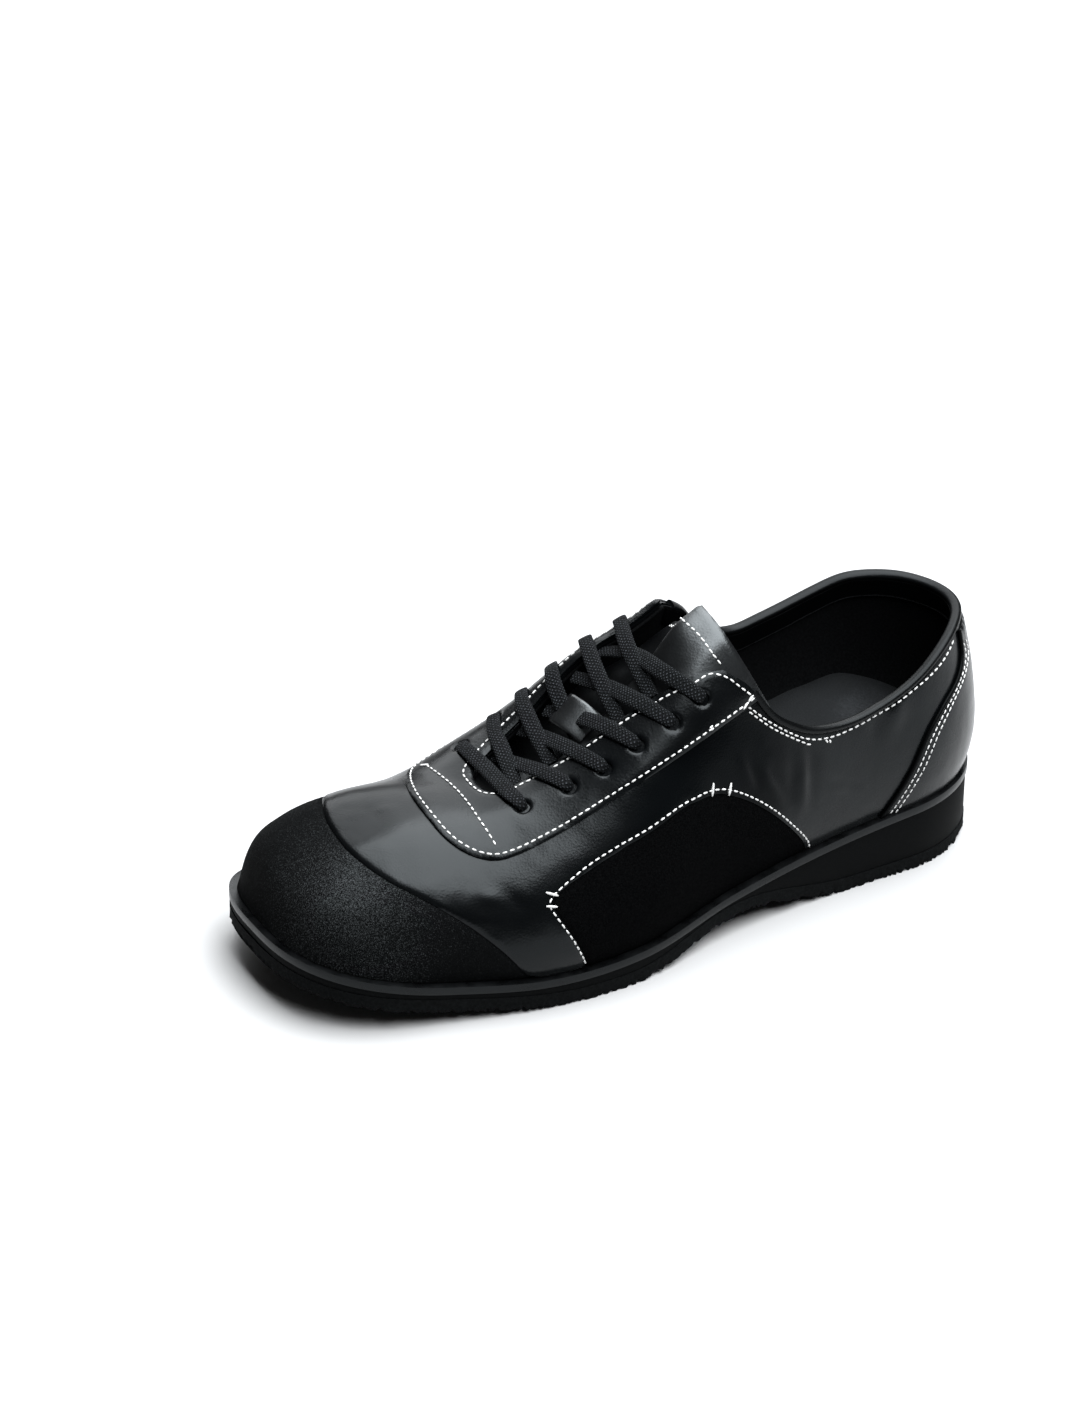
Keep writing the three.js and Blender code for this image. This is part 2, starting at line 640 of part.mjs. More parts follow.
const outsole = soleLayer([
  { inset: 0, height: underside },
  { inset: 0, height: (share) => underside(share) + OUTSOLE },
])
const wedge = soleLayer([
  { inset: WEDGE_STEP, height: (share) => underside(share) + OUTSOLE + GAP },
  { inset: WEDGE_STEP, height: (share) => soleTop(share) - WELT - GAP },
])
const welt = soleLayer([
  { inset: WELT_BEVEL / 2, height: (share) => soleTop(share) - WELT },
  { inset: 0, height: (share) => soleTop(share) - WELT + WELT_BEVEL },
  { inset: 0, height: (share) => soleTop(share) - WELT_BEVEL },
  { inset: WELT_BEVEL, height: soleTop },
])
const insoleInset = LIP + WALL + INSOLE_MARGIN
const heelPad = (share) => HEEL_PAD * THREE.MathUtils.smoothstep(alongX(share), -10, 70) -
  PAD_FALL * THREE.MathUtils.smoothstep(alongX(share), 105, 145)
const insole = soleLayer([
  { inset: insoleInset, height: (share) => soleTop(share) + GAP },
  { inset: insoleInset, height: (share) => soleTop(share) + GAP + INSOLE + heelPad(share) },
])

const LEATHER = { color: 0x1b1c1f, roughness: .38, metalness: 0 }
const SUEDE_LOOK = { color: 0x0b0b0c, roughness: .95, metalness: 0 }
const RUBBER = { color: 0x141516, roughness: .85, metalness: 0 }
const LACE_LOOK = { color: 0x121417, roughness: .7, metalness: 0 }
const CREPE = { color: 0x17191a, roughness: .95, metalness: 0 }
const EDGE = { color: 0x26282b, roughness: .6, metalness: 0 }
const LINING = { color: 0x18191b, roughness: .8, metalness: 0 }

const pieces = [
  ['outsole', outsole, CREPE],
  ['midsole_wedge', wedge, RUBBER],
  ['welt', welt, EDGE],
  ['insole', insole, LINING],
  ['upper', upper, LEATHER],
  ['toe_cap', toeCap, SUEDE_LOOK],
  ['side_panel_lateral', panelLateral, SUEDE_LOOK],
  ['side_panel_medial', panelMedial, SUEDE_LOOK],
  ['lace_facing', facing, LEATHER],
  ['heel_counter', counter, LEATHER],
  ['collar_binding', binding, LEATHER],
  ['tongue', tongue, LEATHER],
  ['tongue_loop', tongueLoop, LEATHER],
  ['lace_bar', lace(laceAtEyelet(0, -1), laceAtEyelet(0, 1)), LACE_LOOK],
]
for (let i = 1; i < EYELETS.length; i++) pieces.push([`lace_cross_${i}`, crossing(i), LACE_LOOK])

const shoe = new THREE.Group()
for (const [name, solid, look] of pieces) {
  const { vertProperties, triVerts } = solid.getMesh()
  const geometry = new THREE.BufferGeometry()
  geometry.setAttribute('position', new THREE.BufferAttribute(vertProperties, 3))
  geometry.setIndex(new THREE.BufferAttribute(triVerts, 1))
  const mesh = new THREE.Mesh(geometry, new THREE.MeshStandardMaterial(look))
  mesh.name = name
  shoe.add(mesh)
}

// The origin is the middle of the footprint, on the floor.
const box = new THREE.Box3().setFromObject(shoe)
shoe.position.set(-(box.min.x + box.max.x) / 2, -(box.min.y + box.max.y) / 2, 0)
shoe.updateMatrixWorld(true)

export default shoe
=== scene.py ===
# %% [markdown]
# A low training shoe for the left foot, in smooth black leather and suede.
# The imported CAD model is loaded first. It gives the size and the place of every piece, and the
# nodes that the pieces made here stand for are hidden.

import math
import random

import bmesh
import bpy
import numpy as np
from mathutils import Matrix, Vector, noise
from mathutils.bvhtree import BVHTree


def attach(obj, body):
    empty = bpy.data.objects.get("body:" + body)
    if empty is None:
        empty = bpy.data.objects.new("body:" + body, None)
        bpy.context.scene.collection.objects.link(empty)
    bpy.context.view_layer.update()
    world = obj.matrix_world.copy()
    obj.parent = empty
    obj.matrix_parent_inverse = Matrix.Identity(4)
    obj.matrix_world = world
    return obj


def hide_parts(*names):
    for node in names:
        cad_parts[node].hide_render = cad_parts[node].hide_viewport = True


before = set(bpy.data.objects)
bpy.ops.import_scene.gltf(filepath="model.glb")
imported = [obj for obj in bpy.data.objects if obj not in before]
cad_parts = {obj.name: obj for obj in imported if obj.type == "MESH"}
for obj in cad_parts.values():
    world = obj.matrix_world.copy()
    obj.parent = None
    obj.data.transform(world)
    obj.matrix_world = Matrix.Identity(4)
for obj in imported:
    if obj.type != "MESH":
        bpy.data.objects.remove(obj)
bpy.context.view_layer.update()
print("nodes in the frame:", len(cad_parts))

# %% [markdown]
# The shoe is drawn in millimetres on its own drawing: toe towards -X, outer side -Y, floor at
# z = 0. The drawing's origin lies a little off the frame's origin, so one function carries a
# finished piece over and turns millimetres into metres.

# %% Sizes of the drawing
# Length of the sole, half its width at the ball, height of the instep, height of the sole stack
# at the heel, width of the lip round the upper, and the way from the drawing to the frame.
MM = 0.001
LENGTH = 300.0
HALF_BALL = 54.0
INSTEP = 130.0
HEEL_SOLE = 29.5
LIP = 2.8
SHIFT = Vector((-0.792, -1.383, 0.0))
print("length, ball and instep in mm:", LENGTH, 2 * HALF_BALL, INSTEP)

ARCH_RISE, TOE_SPRING = 8.3, 14

# Rows from heel to toe: share of the length, outer and inner half width, height of the sole
# stack, squareness of the wall outside and inside, swelling outside and inside.
SECTIONS = np.array([
    [0, .648, .667, 1, 2.5, 2.5, 3.2, 3.2],
    [.12, .685, .685, .976, 2.6, 3, 3.6, 4.4],
    [.27, .713, .648, .831, 2.7, 3.6, 4.1, 5.8],
    [.42, .806, .667, .641, 2.65, 3.6, 4.4, 5.8],
    [.57, 1, .852, .468, 2.45, 3, 4.4, 4.8],
    [.7, 1.024, .969, .441, 2.35, 2.6, 3.2, 3.2],
    [.83, .937, .928, .569, 2.3, 2.4, .8, .8],
    [1, .883, .898, .898, 2.25, 2.25, -1.5, -1.5],
])
# Ridge of the last: share, height, sideways drift.
RIDGE = np.array([
    [0, .815, 0], [.12, .962, 0], [.25, 1.03, 0], [.4, 1, .011], [.5, .788, .022],
    [.6, .608, .037], [.7, .515, .037], [.8, .512, .119], [.9, .435, .189], [1, .292, .237],
])
# Topline: share, height, and how much higher the inner side runs.
TOPLINE = np.array([
    [-.1, .73, 0], [.023, .728, 0], [.05, .721, .015], [.083, .7, .034], [.112, .673, .056],
    [.151, .632, .07], [.203, .595, .072], [.235, .582, .068], [.278, .586, .046],
    [.308, .604, .038], [.333, .636, .027], [.363, .694, .012], [.385, .777, 0],
    [.42, .848, 0], [.433, .873, 0],
])
# Throat slot seen from above: share, middle, half width.
THROAT = np.array([
    [.41, -.12, .42], [.433, -.0965, .4165], [.462, -.06, .405], [.501, -.0105, .3855],
    [.555, .0415, .3485], [.61, .065, .287], [.645, .074, .246], [.667, .068, .213],
    [.69, .052, .172], [.699, .052, .12], [.704, .052, .06], [.7055, .052, 0],
])


def curve_value(rows, column, at):
    """Smooth curve through the rows of a table."""
    keys, values = rows[:, 0], rows[:, column]
    at = np.asarray(at, float)
    step = np.diff(keys)
    slope = np.diff(values) / step
    inner = (slope[:-1] * step[1:] + slope[1:] * step[:-1]) / (step[:-1] + step[1:])
    tangent = np.concatenate([slope[:1], inner, slope[-1:]])
    k = np.clip(np.searchsorted(keys, at) - 1, 0, len(step) - 1)
    t = np.clip((at - keys[k]) / step[k], 0, 1)
    return ((2 * t**3 - 3 * t**2 + 1) * values[k] + (t**3 - 2 * t**2 + t) * step[k] * tangent[k]
            + (3 * t**2 - 2 * t**3) * values[k + 1] + (t**3 - t**2) * step[k] * tangent[k + 1])


def ease(t):
    t = np.clip(t, 0, 1)
    return t * t * (3 - 2 * t)


def share_of(x):
    return 0.5 - np.asarray(x, float) / LENGTH


def along_x(share):
    return LENGTH * (0.5 - np.asarray(share, float))


def sole_top(share):
    return HEEL_SOLE * curve_value(SECTIONS, 3, share)


def underside(share):
    """Height of the sole's underside: an arch under the waist and a spring under the toe."""
    arch = np.where((share > .22) & (share < .6), np.sin(np.pi * (share - .22) / .38) ** 2, 0)
    return ARCH_RISE * arch + TOE_SPRING * np.maximum(0, (share - .655) / .345) ** 1.4


# %% [markdown]
# Every sole sheet and the foot of the upper follow one outline: a rounded heel, a wider ball and
# a toe that swings to the inner side.

# %% Outline of the sole
HEEL_ROUND, TOE_ROUND, TOE_TURN = 41.6, 56.3, 15.2
HEEL_POWER, TOE_POWER = 2.08, 2.87


def sole_edge(share, side):
    """Points of the outline on one side and the direction outwards at each."""
    heel = np.clip(1 - np.abs(1 - share * LENGTH / HEEL_ROUND) ** HEEL_POWER, 0, 1) ** (1 / HEEL_POWER)
    toe = np.clip(1 - np.abs(1 - (1 - share) * LENGTH / TOE_ROUND) ** TOE_POWER, 0, 1) ** (1 / TOE_POWER)
    heel = np.where(share * LENGTH < HEEL_ROUND, heel, 1)
    toe = np.where((1 - share) * LENGTH < TOE_ROUND, toe, 1)
    half = HALF_BALL * curve_value(SECTIONS, 1 if side < 0 else 2, share)
    turn = TOE_TURN * np.maximum(0, 2 * share - 1) ** 2
    edge = np.stack([along_x(share), side * half * heel * toe + turn], 1)
    ahead = np.gradient(edge, axis=0)
    out = np.stack([-ahead[:, 1], ahead[:, 0]], 1)
    out /= np.linalg.norm(out, axis=1)[:, None]
    out[out[:, 1] * side < 0] *= -1
    out[0], out[-1] = (1, 0), (-1, 0)
    return edge, out


def even_shares(count):
    """Shares of the length that lie closer together at the heel and the toe."""
    return (1 - np.cos(np.pi * np.arange(count + 1) / count)) / 2


print("width at the ball in mm:", 2 * HALF_BALL, "lip:", LIP)

# %% [markdown]
# A shoemaker pulls leather over a wooden last. The same is done here: a flat grid is wrapped over
# the last, one rib after the other from the foot of the wall up to the ridge, so that every
# leather piece can be cut from the same smooth surface. Along the ridge, where the ribs of both
# sides meet, it is smoothed, and on top of the toe it is turned into one dome.

# %% The last
RIDGE_START, RIDGE_END = .068, .87
FOOT_GAP = .3
# The swelling of a rib is largest at a quarter of its rise. This factor makes that largest value 1.
SWELL = 9.48


def last_points(stations, ribs):
    """Places of a grid wrapped over the last: [station, row from outer foot to inner foot]."""
    share = even_shares(stations)
    turn = np.linspace(0, np.pi / 2, 241)
    halves = []
    for side in (-1, 1):
        edge, out = sole_edge(share, side)
        foot = edge - out * LIP
        foot_z = sole_top(share_of(foot[:, 0])) + FOOT_GAP
        square = curve_value(SECTIONS, 4 if side < 0 else 5, share)[:, None]
        full = curve_value(SECTIONS, 6 if side < 0 else 7, share)[:, None]
        at = RIDGE_START + (RIDGE_END - RIDGE_START) * share
        ridge = np.stack([along_x(at), HALF_BALL * curve_value(RIDGE, 2, at)], 1)
        ridge_z = INSTEP * curve_value(RIDGE, 1, at)
        level = np.clip(np.cos(turn), 0, 1) ** (2 / square)
        rise = np.sin(turn) ** (2 / square)
        level[:, -1] = 0
        swell = full * SWELL * rise * (1 - rise) ** 3
        rib = np.empty((stations + 1, len(turn), 3))
        rib[:, :, :2] = (ridge[:, None] + (foot - ridge)[:, None] * level[..., None]
                         + out[:, None] * swell[..., None])
        rib[:, :, 2] = foot_z[:, None] + (ridge_z - foot_z)[:, None] * rise
        walked = np.linalg.norm(np.diff(rib, axis=1), axis=2).cumsum(1)
        walked = np.concatenate([np.zeros((stations + 1, 1)), walked], 1)
        even = np.empty((stations + 1, ribs + 1, 3))
        for k in range(stations + 1):
            marks = np.linspace(0, walked[k, -1], ribs + 1)
            for axis in range(3):
                even[k, :, axis] = np.interp(marks, walked[k], rib[k, :, axis])
        for k in (0, stations):
            even[k, ribs] = even[k, ribs - 1]
        halves.append(even)
    grid = np.concatenate([halves[0], halves[1][:, -2::-1]], 1)
    # The ridge is smoothed, but not over the toe, which dome() shapes.
    reach = round(ribs * .22)
    window = np.hanning(2 * reach + 1)[None, 1:-1, None] ** .5
    band = grid[1:-1, ribs - reach:ribs + reach + 1]
    window = window * (1 - ease((-80 - band[:, 1:-1, :1]) / 20))
    for _ in range(round(30 * (ribs / 64) ** 2)):
        calm = (band[:, :-2] + 2 * band[:, 1:-1] + band[:, 2:]) / 4
        band[:, 1:-1] += window * (calm - band[:, 1:-1])
    # The inner half of the instep lies up to 9 mm lower.
    x, y = grid[..., 0], grid[..., 1]
    grid[..., 2] -= (9 * ease((x + 10) / 30) * (1 - ease((x - 44) / 16))
                     * ease((y + 6) / 20) * (1 - ease((y - 26) / 12)))
    return grid


def grid_sheet(points):
    """A grid of bmesh whose vertices are carried to the given places."""
    across, down = points.shape[0] - 1, points.shape[1] - 1
    bm = bmesh.new()
    bmesh.ops.create_grid(bm, x_segments=across, y_segments=down, size=1)
    for v in bm.verts:
        v.co = points[round((v.co.x + 1) / 2 * across), round((v.co.y + 1) / 2 * down)]
    bmesh.ops.remove_doubles(bm, verts=bm.verts, dist=1e-4)
    return bm


def outward(bm):
    """Turns the faces of an open sheet over the last outwards."""
    bm.normal_update()
    middle = Vector((0, 0, 40))
    vote = sum(f.normal.dot(f.calc_center_median() - middle) * f.calc_area() for f in bm.faces)
    if vote < 0:
        bmesh.ops.reverse_faces(bm, faces=bm.faces)
    bm.normal_update()


# Creases and soft swellings of the leather: both ends, depth (negative swells), width in mm.
CREASES = [
    ((54.3, -38.7, 72), (54, -40.9, 46), -.55, 2.6), ((50, -39, 70), (49.5, -41, 50), .35, 3),
    ((58.5, -39, 68), (58.8, -40, 50), .3, 3.2), ((26, -40.3, 76), (31, -41.5, 65), -.5, 2.2),
    ((29.5, -40.5, 74), (35.5, -41, 62), .45, 2), ((34, -40.5, 72), (44, -41.5, 55), -.5, 2.4),
    ((38, -40.6, 70), (47, -41.5, 54), .4, 2.2), ((66, -39.7, 52), (75, -39.1, 47.5), -.3, 1.2),
    ((70, -39.3, 54), (82, -38.6, 47), .3, 1.4), ((95.2, -36.8, 66), (101, -34.9, 80), -.5, 4),
    ((87, -37.5, 66), (92, -36, 78), .4, 4), ((14, -42, 70), (18, -43, 60), .35, 3),
    ((4, -44, 68), (10, -44, 60), -.35, 3), ((-20, -47, 52), (-28, -47, 60), .3, 3),
    ((-88, -41, 38), (-78, -44, 33), .3, 3), ((-84, -36, 48), (-70, -40, 44), -.35, 3.5),
    ((-76, -38, 49), (-64, -44, 38), .35, 3),
    ((54, 38.7, 76), (54, 40.9, 50), -.45, 2.8), ((36, 40, 74), (46, 41, 58), .4, 2.4),
    ((-84, 40, 48), (-70, 44, 42), .35, 3.2), ((-78, 44, 40), (-66, 48, 34), -.3, 3),
]
CREASE_STRENGTH = 1.5


def creased(bm):
    """Sinks the creases into the sheet and gives it a gentle unevenness."""
    places = np.array([v.co[:] for v in bm.verts])
    amount = np.zeros(len(places))
    for start, end, depth, width in CREASES:
        start = np.array(start, float)
        step = end - start
        t = np.clip((places - start) @ step / (step**2).sum(), 0, 1)
        reach = np.linalg.norm(places - start - t[:, None] * step, axis=1)
        fade = .35 + .65 * np.sin(np.pi * t)
        amount -= CREASE_STRENGTH * depth * np.exp(-((reach / width) ** 2)) * fade
    for v, height in zip(bm.verts, amount):
        wave = .16 * noise.noise(v.co / 13) + .07 * noise.noise(v.co / 5)
        v.co += v.normal * (height + wave)


# Where the ribs of both sides meet on the toe, how far the dome's fit reaches, and its middle part.
DOME_X, DOME_Y = -114, 9.6
DOME_REACH, DOME_CORE = 26, 8


def dome(bm, rounds):
    """Turns the top of the toe, where the ribs of both sides meet, into one soft dome."""
    bm.verts.index_update()
    places = np.array([v.co[:] for v in bm.verts])
    lift = np.array([v.normal[:] for v in bm.verts])
    a, b = np.array([[v.index for v in e.verts] for e in bm.edges]).T
    size = len(places)
    neighbours = np.bincount(a, minlength=size) + np.bincount(b, minlength=size)

    def around(values):
        """Mean of a value over each point's neighbours."""
        total = [np.bincount(a, values[b, n], size) + np.bincount(b, values[a, n], size) for n in range(3)]
        return np.stack(total, 1) / neighbours[:, None]

    for _ in range(rounds // 4):
        lift = lift + around(lift)
        lift /= np.linalg.norm(lift, axis=1)[:, None]
    weight = ease((-84 - places[:, 0]) / 18) * ease((places[:, 2] - 46) / 9)
    for _ in range(rounds):
        bend = ((around(places) - places) * lift).sum(1)
        places += lift * (bend * weight * .7)[:, None]
    places += lift * weight[:, None] * .8
    # The middle takes the height of a smooth surface that fits the ring round it.
    x, y, z = places.T
    fore, aside = x - DOME_X, y - DOME_Y
    reach = np.hypot(fore, aside)
    near = (reach < DOME_REACH) & (lift[:, 2] > .6)
    ring = near & (reach > DOME_CORE)
    terms = np.stack([(fore / DOME_REACH) ** i * (aside / DOME_REACH) ** j
                      for i in range(5) for j in range(5 - i)], 1)
    shape = np.linalg.lstsq(terms[ring], z[ring], rcond=None)[0]
    places[near, 2] += (1 - ease((reach[near] - DOME_CORE) / 9)) * (terms[near] @ shape - z[near])
    for v, place in zip(bm.verts, places):
        v.co = place
    bm.normal_update()


def keep_sheet(stations, ribs, name):
    """Wraps a sheet over the last and keeps it as a mesh, from which pieces are cut."""
    bm = grid_sheet(last_points(stations, ribs))
    outward(bm)
    dome(bm, round(240 * (ribs / 64) ** 2))
    creased(bm)
    mesh = bpy.data.meshes.new(name)
    bm.to_mesh(mesh)
    bm.free()
    print(name, "vertices:", len(mesh.vertices))
    return mesh


FINE = keep_sheet(288, 64, "last_fine")
COARSE = keep_sheet(144, 32, "last_coarse")


def sheet_of(mesh):
    bm = bmesh.new()
    bm.from_mesh(mesh)
    return bm


_skin = sheet_of(FINE)
SKIN = BVHTree.FromBMesh(_skin)
_skin.free()

# %% [markdown]
# A pattern piece is cut from the sheet along an outline drawn in the side view or seen from
# above. Each point of the sheet gets its distance from the outline, and the sheet is cut where
# that distance is zero. Points close to the cut are slid onto it first, so no thin slivers stay.

# %% Outlines
def flow(points, count):
    """Smooth curve through a few rows of numbers, each column on its own curve."""
    points = np.array(points, float)
    last = len(points) - 1
    found = []
    for n in range(count + 1):
        at = last * n / count
        i = min(int(at), last - 1)
        t = at - i
        a, b, c, d = (points[max(i - 1, 0)], points[i], points[i + 1], points[min(i + 2, last)])
        found.append(b + (c - a) * t / 2 + (2 * a - 5 * b + 4 * c - d) * t * t / 2
                     + (3 * b - a - 3 * c + d) * t**3 / 2)
    return np.array(found)


def seen_above(rows):
    return [(along_x(s), y * HALF_BALL) for s, y in rows]


def seen_aside(rows):
    return [(along_x(s), z * INSTEP) for s, z in rows]


def inside(points, outline):
    """Distance of each point from a closed outline, positive inside."""
    a = np.asarray(outline, float)
    b = np.roll(a, -1, axis=0)
    best = np.full(len(points), 1e9)
    odd = np.zeros(len(points), bool)
    for (ax, ay), (bx, by) in zip(a, b):
        dx, dy = bx - ax, by - ay
        along = (points[:, 0] - ax) * dx + (points[:, 1] - ay) * dy
        t = np.clip(along / (dx * dx + dy * dy + 1e-12), 0, 1)
        best = np.minimum(best, np.hypot(points[:, 0] - ax - t * dx, points[:, 1] - ay - t * dy))
        if ay != by:
            crosses = (ay > points[:, 1]) != (by > points[:, 1])
            odd ^= crosses & (points[:, 0] < ax + (points[:, 1] - ay) * dx / dy)
    return np.where(odd, best, -best)


def from_above(outline):
    return lambda p: inside(p[:, :2], outline)


def from_side(outline, side=0):
    def field(p):
        value = inside(p[:, [0, 2]], outline)
        return np.where(p[:, 1] * side < 0, -np.abs(value), value) if side else value
    return field


def above_topline(shift=0, start=.433):
    """Positive above the topline, which may be moved up or down."""
    shares = np.linspace(start, -.1, 90)
    line = np.stack([along_x(shares), INSTEP * curve_value(TOPLINE, 1, shares) + shift], 1)
    outline = np.concatenate([[[line[0, 0], 260]], line, [[line[-1, 0], 260]]])

    def field(p):
        x = p[:, 0] - 7 * np.clip(p[:, 1] / 30, 0, 1) * np.clip((75 - p[:, 0]) / 35, 0, 1)
        lift = INSTEP * curve_value(TOPLINE, 2, share_of(x))
        level = p[:, 2] - lift * (.5 + p[:, 1] / (1.33 * HALF_BALL))
        return inside(np.stack([x, level], 1), outline)
    return field


def throat_outline():
    shares = .7055 + (.41 - .7055) * np.linspace(0, 1, 60) ** 1.9
    mid = HALF_BALL * curve_value(THROAT, 1, shares)
    half = np.maximum(0, HALF_BALL * curve_value(THROAT, 2, shares))
    near = np.stack([along_x(shares), mid - half], 1)
    far = np.stack([along_x(shares), mid + half], 1)[::-1]
    return np.concatenate([near, far[:-1]])


# %% Cutting and thickening
def trim(bm, field, seam=True):
    """Cuts a sheet where the field is zero and drops the part where it is positive."""
    layers = bm.verts.layers.float
    if "edge" not in layers:
        for name in ("edge", "seam", "cut"):
            layers.new(name)
        for v in bm.verts:
            v[layers["edge"]] = v[layers["seam"]] = 1e3
    cut, edge, stitched = layers["cut"], layers["edge"], layers["seam"]
    verts = list(bm.verts)
    for v, value in zip(verts, field(np.array([v.co[:] for v in verts]))):
        v[cut] = value
    moves = {}
    for e in bm.edges:
        a, b = e.verts
        if a[cut] * b[cut] < 0:
            t = a[cut] / (a[cut] - b[cut])
            near = a if t < .5 else b
            gap = min(t, 1 - t)
            if gap < .3 and gap < moves.get(near, (1,))[0]:
                moves[near] = (gap, a.co.lerp(b.co, t))
    for v, (_, spot) in moves.items():
        v.co, v[cut] = spot, 0
    for e in [e for e in bm.edges if e.verts[0][cut] * e.verts[1][cut] < 0]:
        a, b = e.verts
        t = a[cut] / (a[cut] - b[cut])
        spot, near = a.co.lerp(b.co, t), (a[edge], a[stitched])
        _, v = bmesh.utils.edge_split(e, a, t)
        v.co, v[cut], v[edge], v[stitched] = spot, 0, near[0], near[1]
    bmesh.ops.connect_verts(bm, verts=[v for v in bm.verts if v[cut] == 0])
    spare = []
    for f in bm.faces:
        total = sum(v[cut] for v in f.verts)
        if total > 0 or (total == 0 and field(np.array([f.calc_center_median()[:]]))[0] > 0):
            spare.append(f)
    bmesh.ops.delete(bm, geom=spare, context="FACES")
    for v in bm.verts:
        v[edge] = min(v[edge], abs(v[cut]))
        if seam:
            v[stitched] = min(v[stitched], abs(v[cut]))
    return bm


def thicken(bm, low, high, rounding=.5, reach=1.5, furrow=0.0, furrow_at=1.8):
    """Gives a sheet its thickness. Cut edges are rounded, and a seam sinks in beside them."""
    layers = bm.verts.layers.float
    edge, stitched = layers.get("edge"), layers.get("seam")
    out = bm.verts.layers.float_vector.new("out")
    bm.normal_update()
    for v in bm.verts:
        v[out] = v.normal
    raised = bmesh.ops.extrude_face_region(bm, geom=bm.faces[:])["geom"]
    skin = {v for v in raised if isinstance(v, bmesh.types.BMVert)}
    for v in bm.verts:
        height = low
        if v in skin:
            height = high
            if edge is not None:
                height -= rounding * max(0, 1 - v[edge] / reach) ** 2
                height -= furrow * math.exp(-(((v[stitched] - furrow_at) / .8) ** 2))
        v.co += Vector(v[out]) * height
    bmesh.ops.recalc_face_normals(bm, faces=bm.faces)
    return bm


def finish_piece(bm, name, material, replaces=(), sharp=50):
    """Carries a piece over to the frame, hangs it on the root and hides the nodes that it stands for."""
    bmesh.ops.translate(bm, vec=SHIFT, verts=bm.verts)
    bmesh.ops.scale(bm, vec=(MM, MM, MM), verts=bm.verts)
    mesh = bpy.data.meshes.new(name)
    bm.to_mesh(mesh)
    faces = sum(len(f.verts) - 2 for f in bm.faces)
    bm.free()
    mesh.shade_smooth()
    mesh.set_sharp_from_angle(angle=math.radians(sharp))
    mesh.materials.append(material)
    piece = bpy.data.objects.new(name, mesh)
    bpy.context.scene.collection.objects.link(piece)
    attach(piece, "root")
    if replaces:
        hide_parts(*replaces)
    print(name, "triangles:", faces)
    return piece


# %% [markdown]
# The finishes. Smooth leather is nearly black and gets its light from a soft gloss broken by a
# fine grain. Suede has hardly any gloss, only a short nap with paler fibre ends. Rubber is matt,
# the crepe sheet crumbly. A picture could be wrapped round each piece, but patterns worked out by
# nodes need no file and don't repeat. They read the object's own coordinates in metres, so a
# scale of 1000 makes marks of about a millimetre.

# %% Finish helpers
class Finish:
    """A material. Its patterns are mixed and then led to colour, gloss or bumps."""

    def __init__(self, name, roughness, specular=.5):
        self.material = bpy.data.materials.new(name)
        self.material.use_nodes = True
        self.tree = self.material.node_tree
        self.shader = self.tree.nodes["Principled BSDF"]
        self.shader.inputs["Roughness"].default_value = roughness
        self.shader.inputs["Specular IOR Level"].default_value = specular
        self.shader.inputs["Specular Tint"].default_value = (.91, .975, 1, 1)
        self.where = self.node("TexCoord", {})

    def node(self, kind, sockets):
        """A new node. A socket gets a plain value, or a link where the value is an output."""
        made = self.tree.nodes.new("ShaderNode" + kind)
        for name, value in sockets.items():
            if isinstance(value, bpy.types.NodeSocket):
                self.tree.links.new(value, made.inputs[name])
            else:
                made.inputs[name].default_value = value
        return made

    def speckle(self, scale, detail=3.0, roughness=.5, source="Object"):
        place = self.where.outputs[source]
        return self.node("TexNoise", {"Vector": place, "Scale": scale, "Detail": detail,
                                      "Roughness": roughness}).outputs["Fac"]

    def cells(self, scale):
        place = self.where.outputs["Object"]
        return self.node("TexVoronoi", {"Vector": place, "Scale": scale}).outputs["Distance"]

    def spread(self, pattern, low, high, start=.3, end=.7):
        """Carries a pattern from one range of numbers to another."""
        return self.node("MapRange", {"Value": pattern, "From Min": start, "From Max": end,
                                      "To Min": low, "To Max": high}).outputs["Result"]

    def joined(self, operation, *values):
        """A sum or product of patterns and plain numbers."""
        made = self.node("Math", dict(enumerate(values)))
        made.operation = operation
        return made.outputs["Value"]

    def far_from(self, place, flat=False):
        """Distance from a place in metres. Flat measures it in the side view."""
        source = self.where.outputs["Object"]
        if flat:
            source = self.node("Mapping", {"Vector": source, "Scale": (1, 0, 1)}).outputs["Vector"]
        made = self.node("VectorMath", {0: source, 1: place})
        made.operation = "DISTANCE"
        return made.outputs["Value"]

    def drive(self, socket, pattern):
        self.tree.links.new(pattern, self.shader.inputs[socket])

    def paint(self, pattern, stops):
        """Colours the finish by a pattern, with a ramp from rows of (place, colour)."""
        made = self.node("ValToRGB", {"Fac": pattern})
        ramp = made.color_ramp
        while len(ramp.elements) < len(stops):
            ramp.elements.new(.5)
        for element, (place, colour) in zip(ramp.elements, stops):
            element.position = place
            element.color = (*colour, 1)
        self.drive("Base Color", made.outputs["Color"])

    def relief(self, *layers):
        """Bumps one after the other, each from (height, strength, distance in mm)."""
        below = {}
        for height, strength, distance in layers:
            bump = self.node("Bump", {"Height": height, "Strength": strength,
                                      "Distance": distance * MM, **below})
            below = {"Normal": bump.outputs["Normal"]}
        self.drive("Normal", below["Normal"])


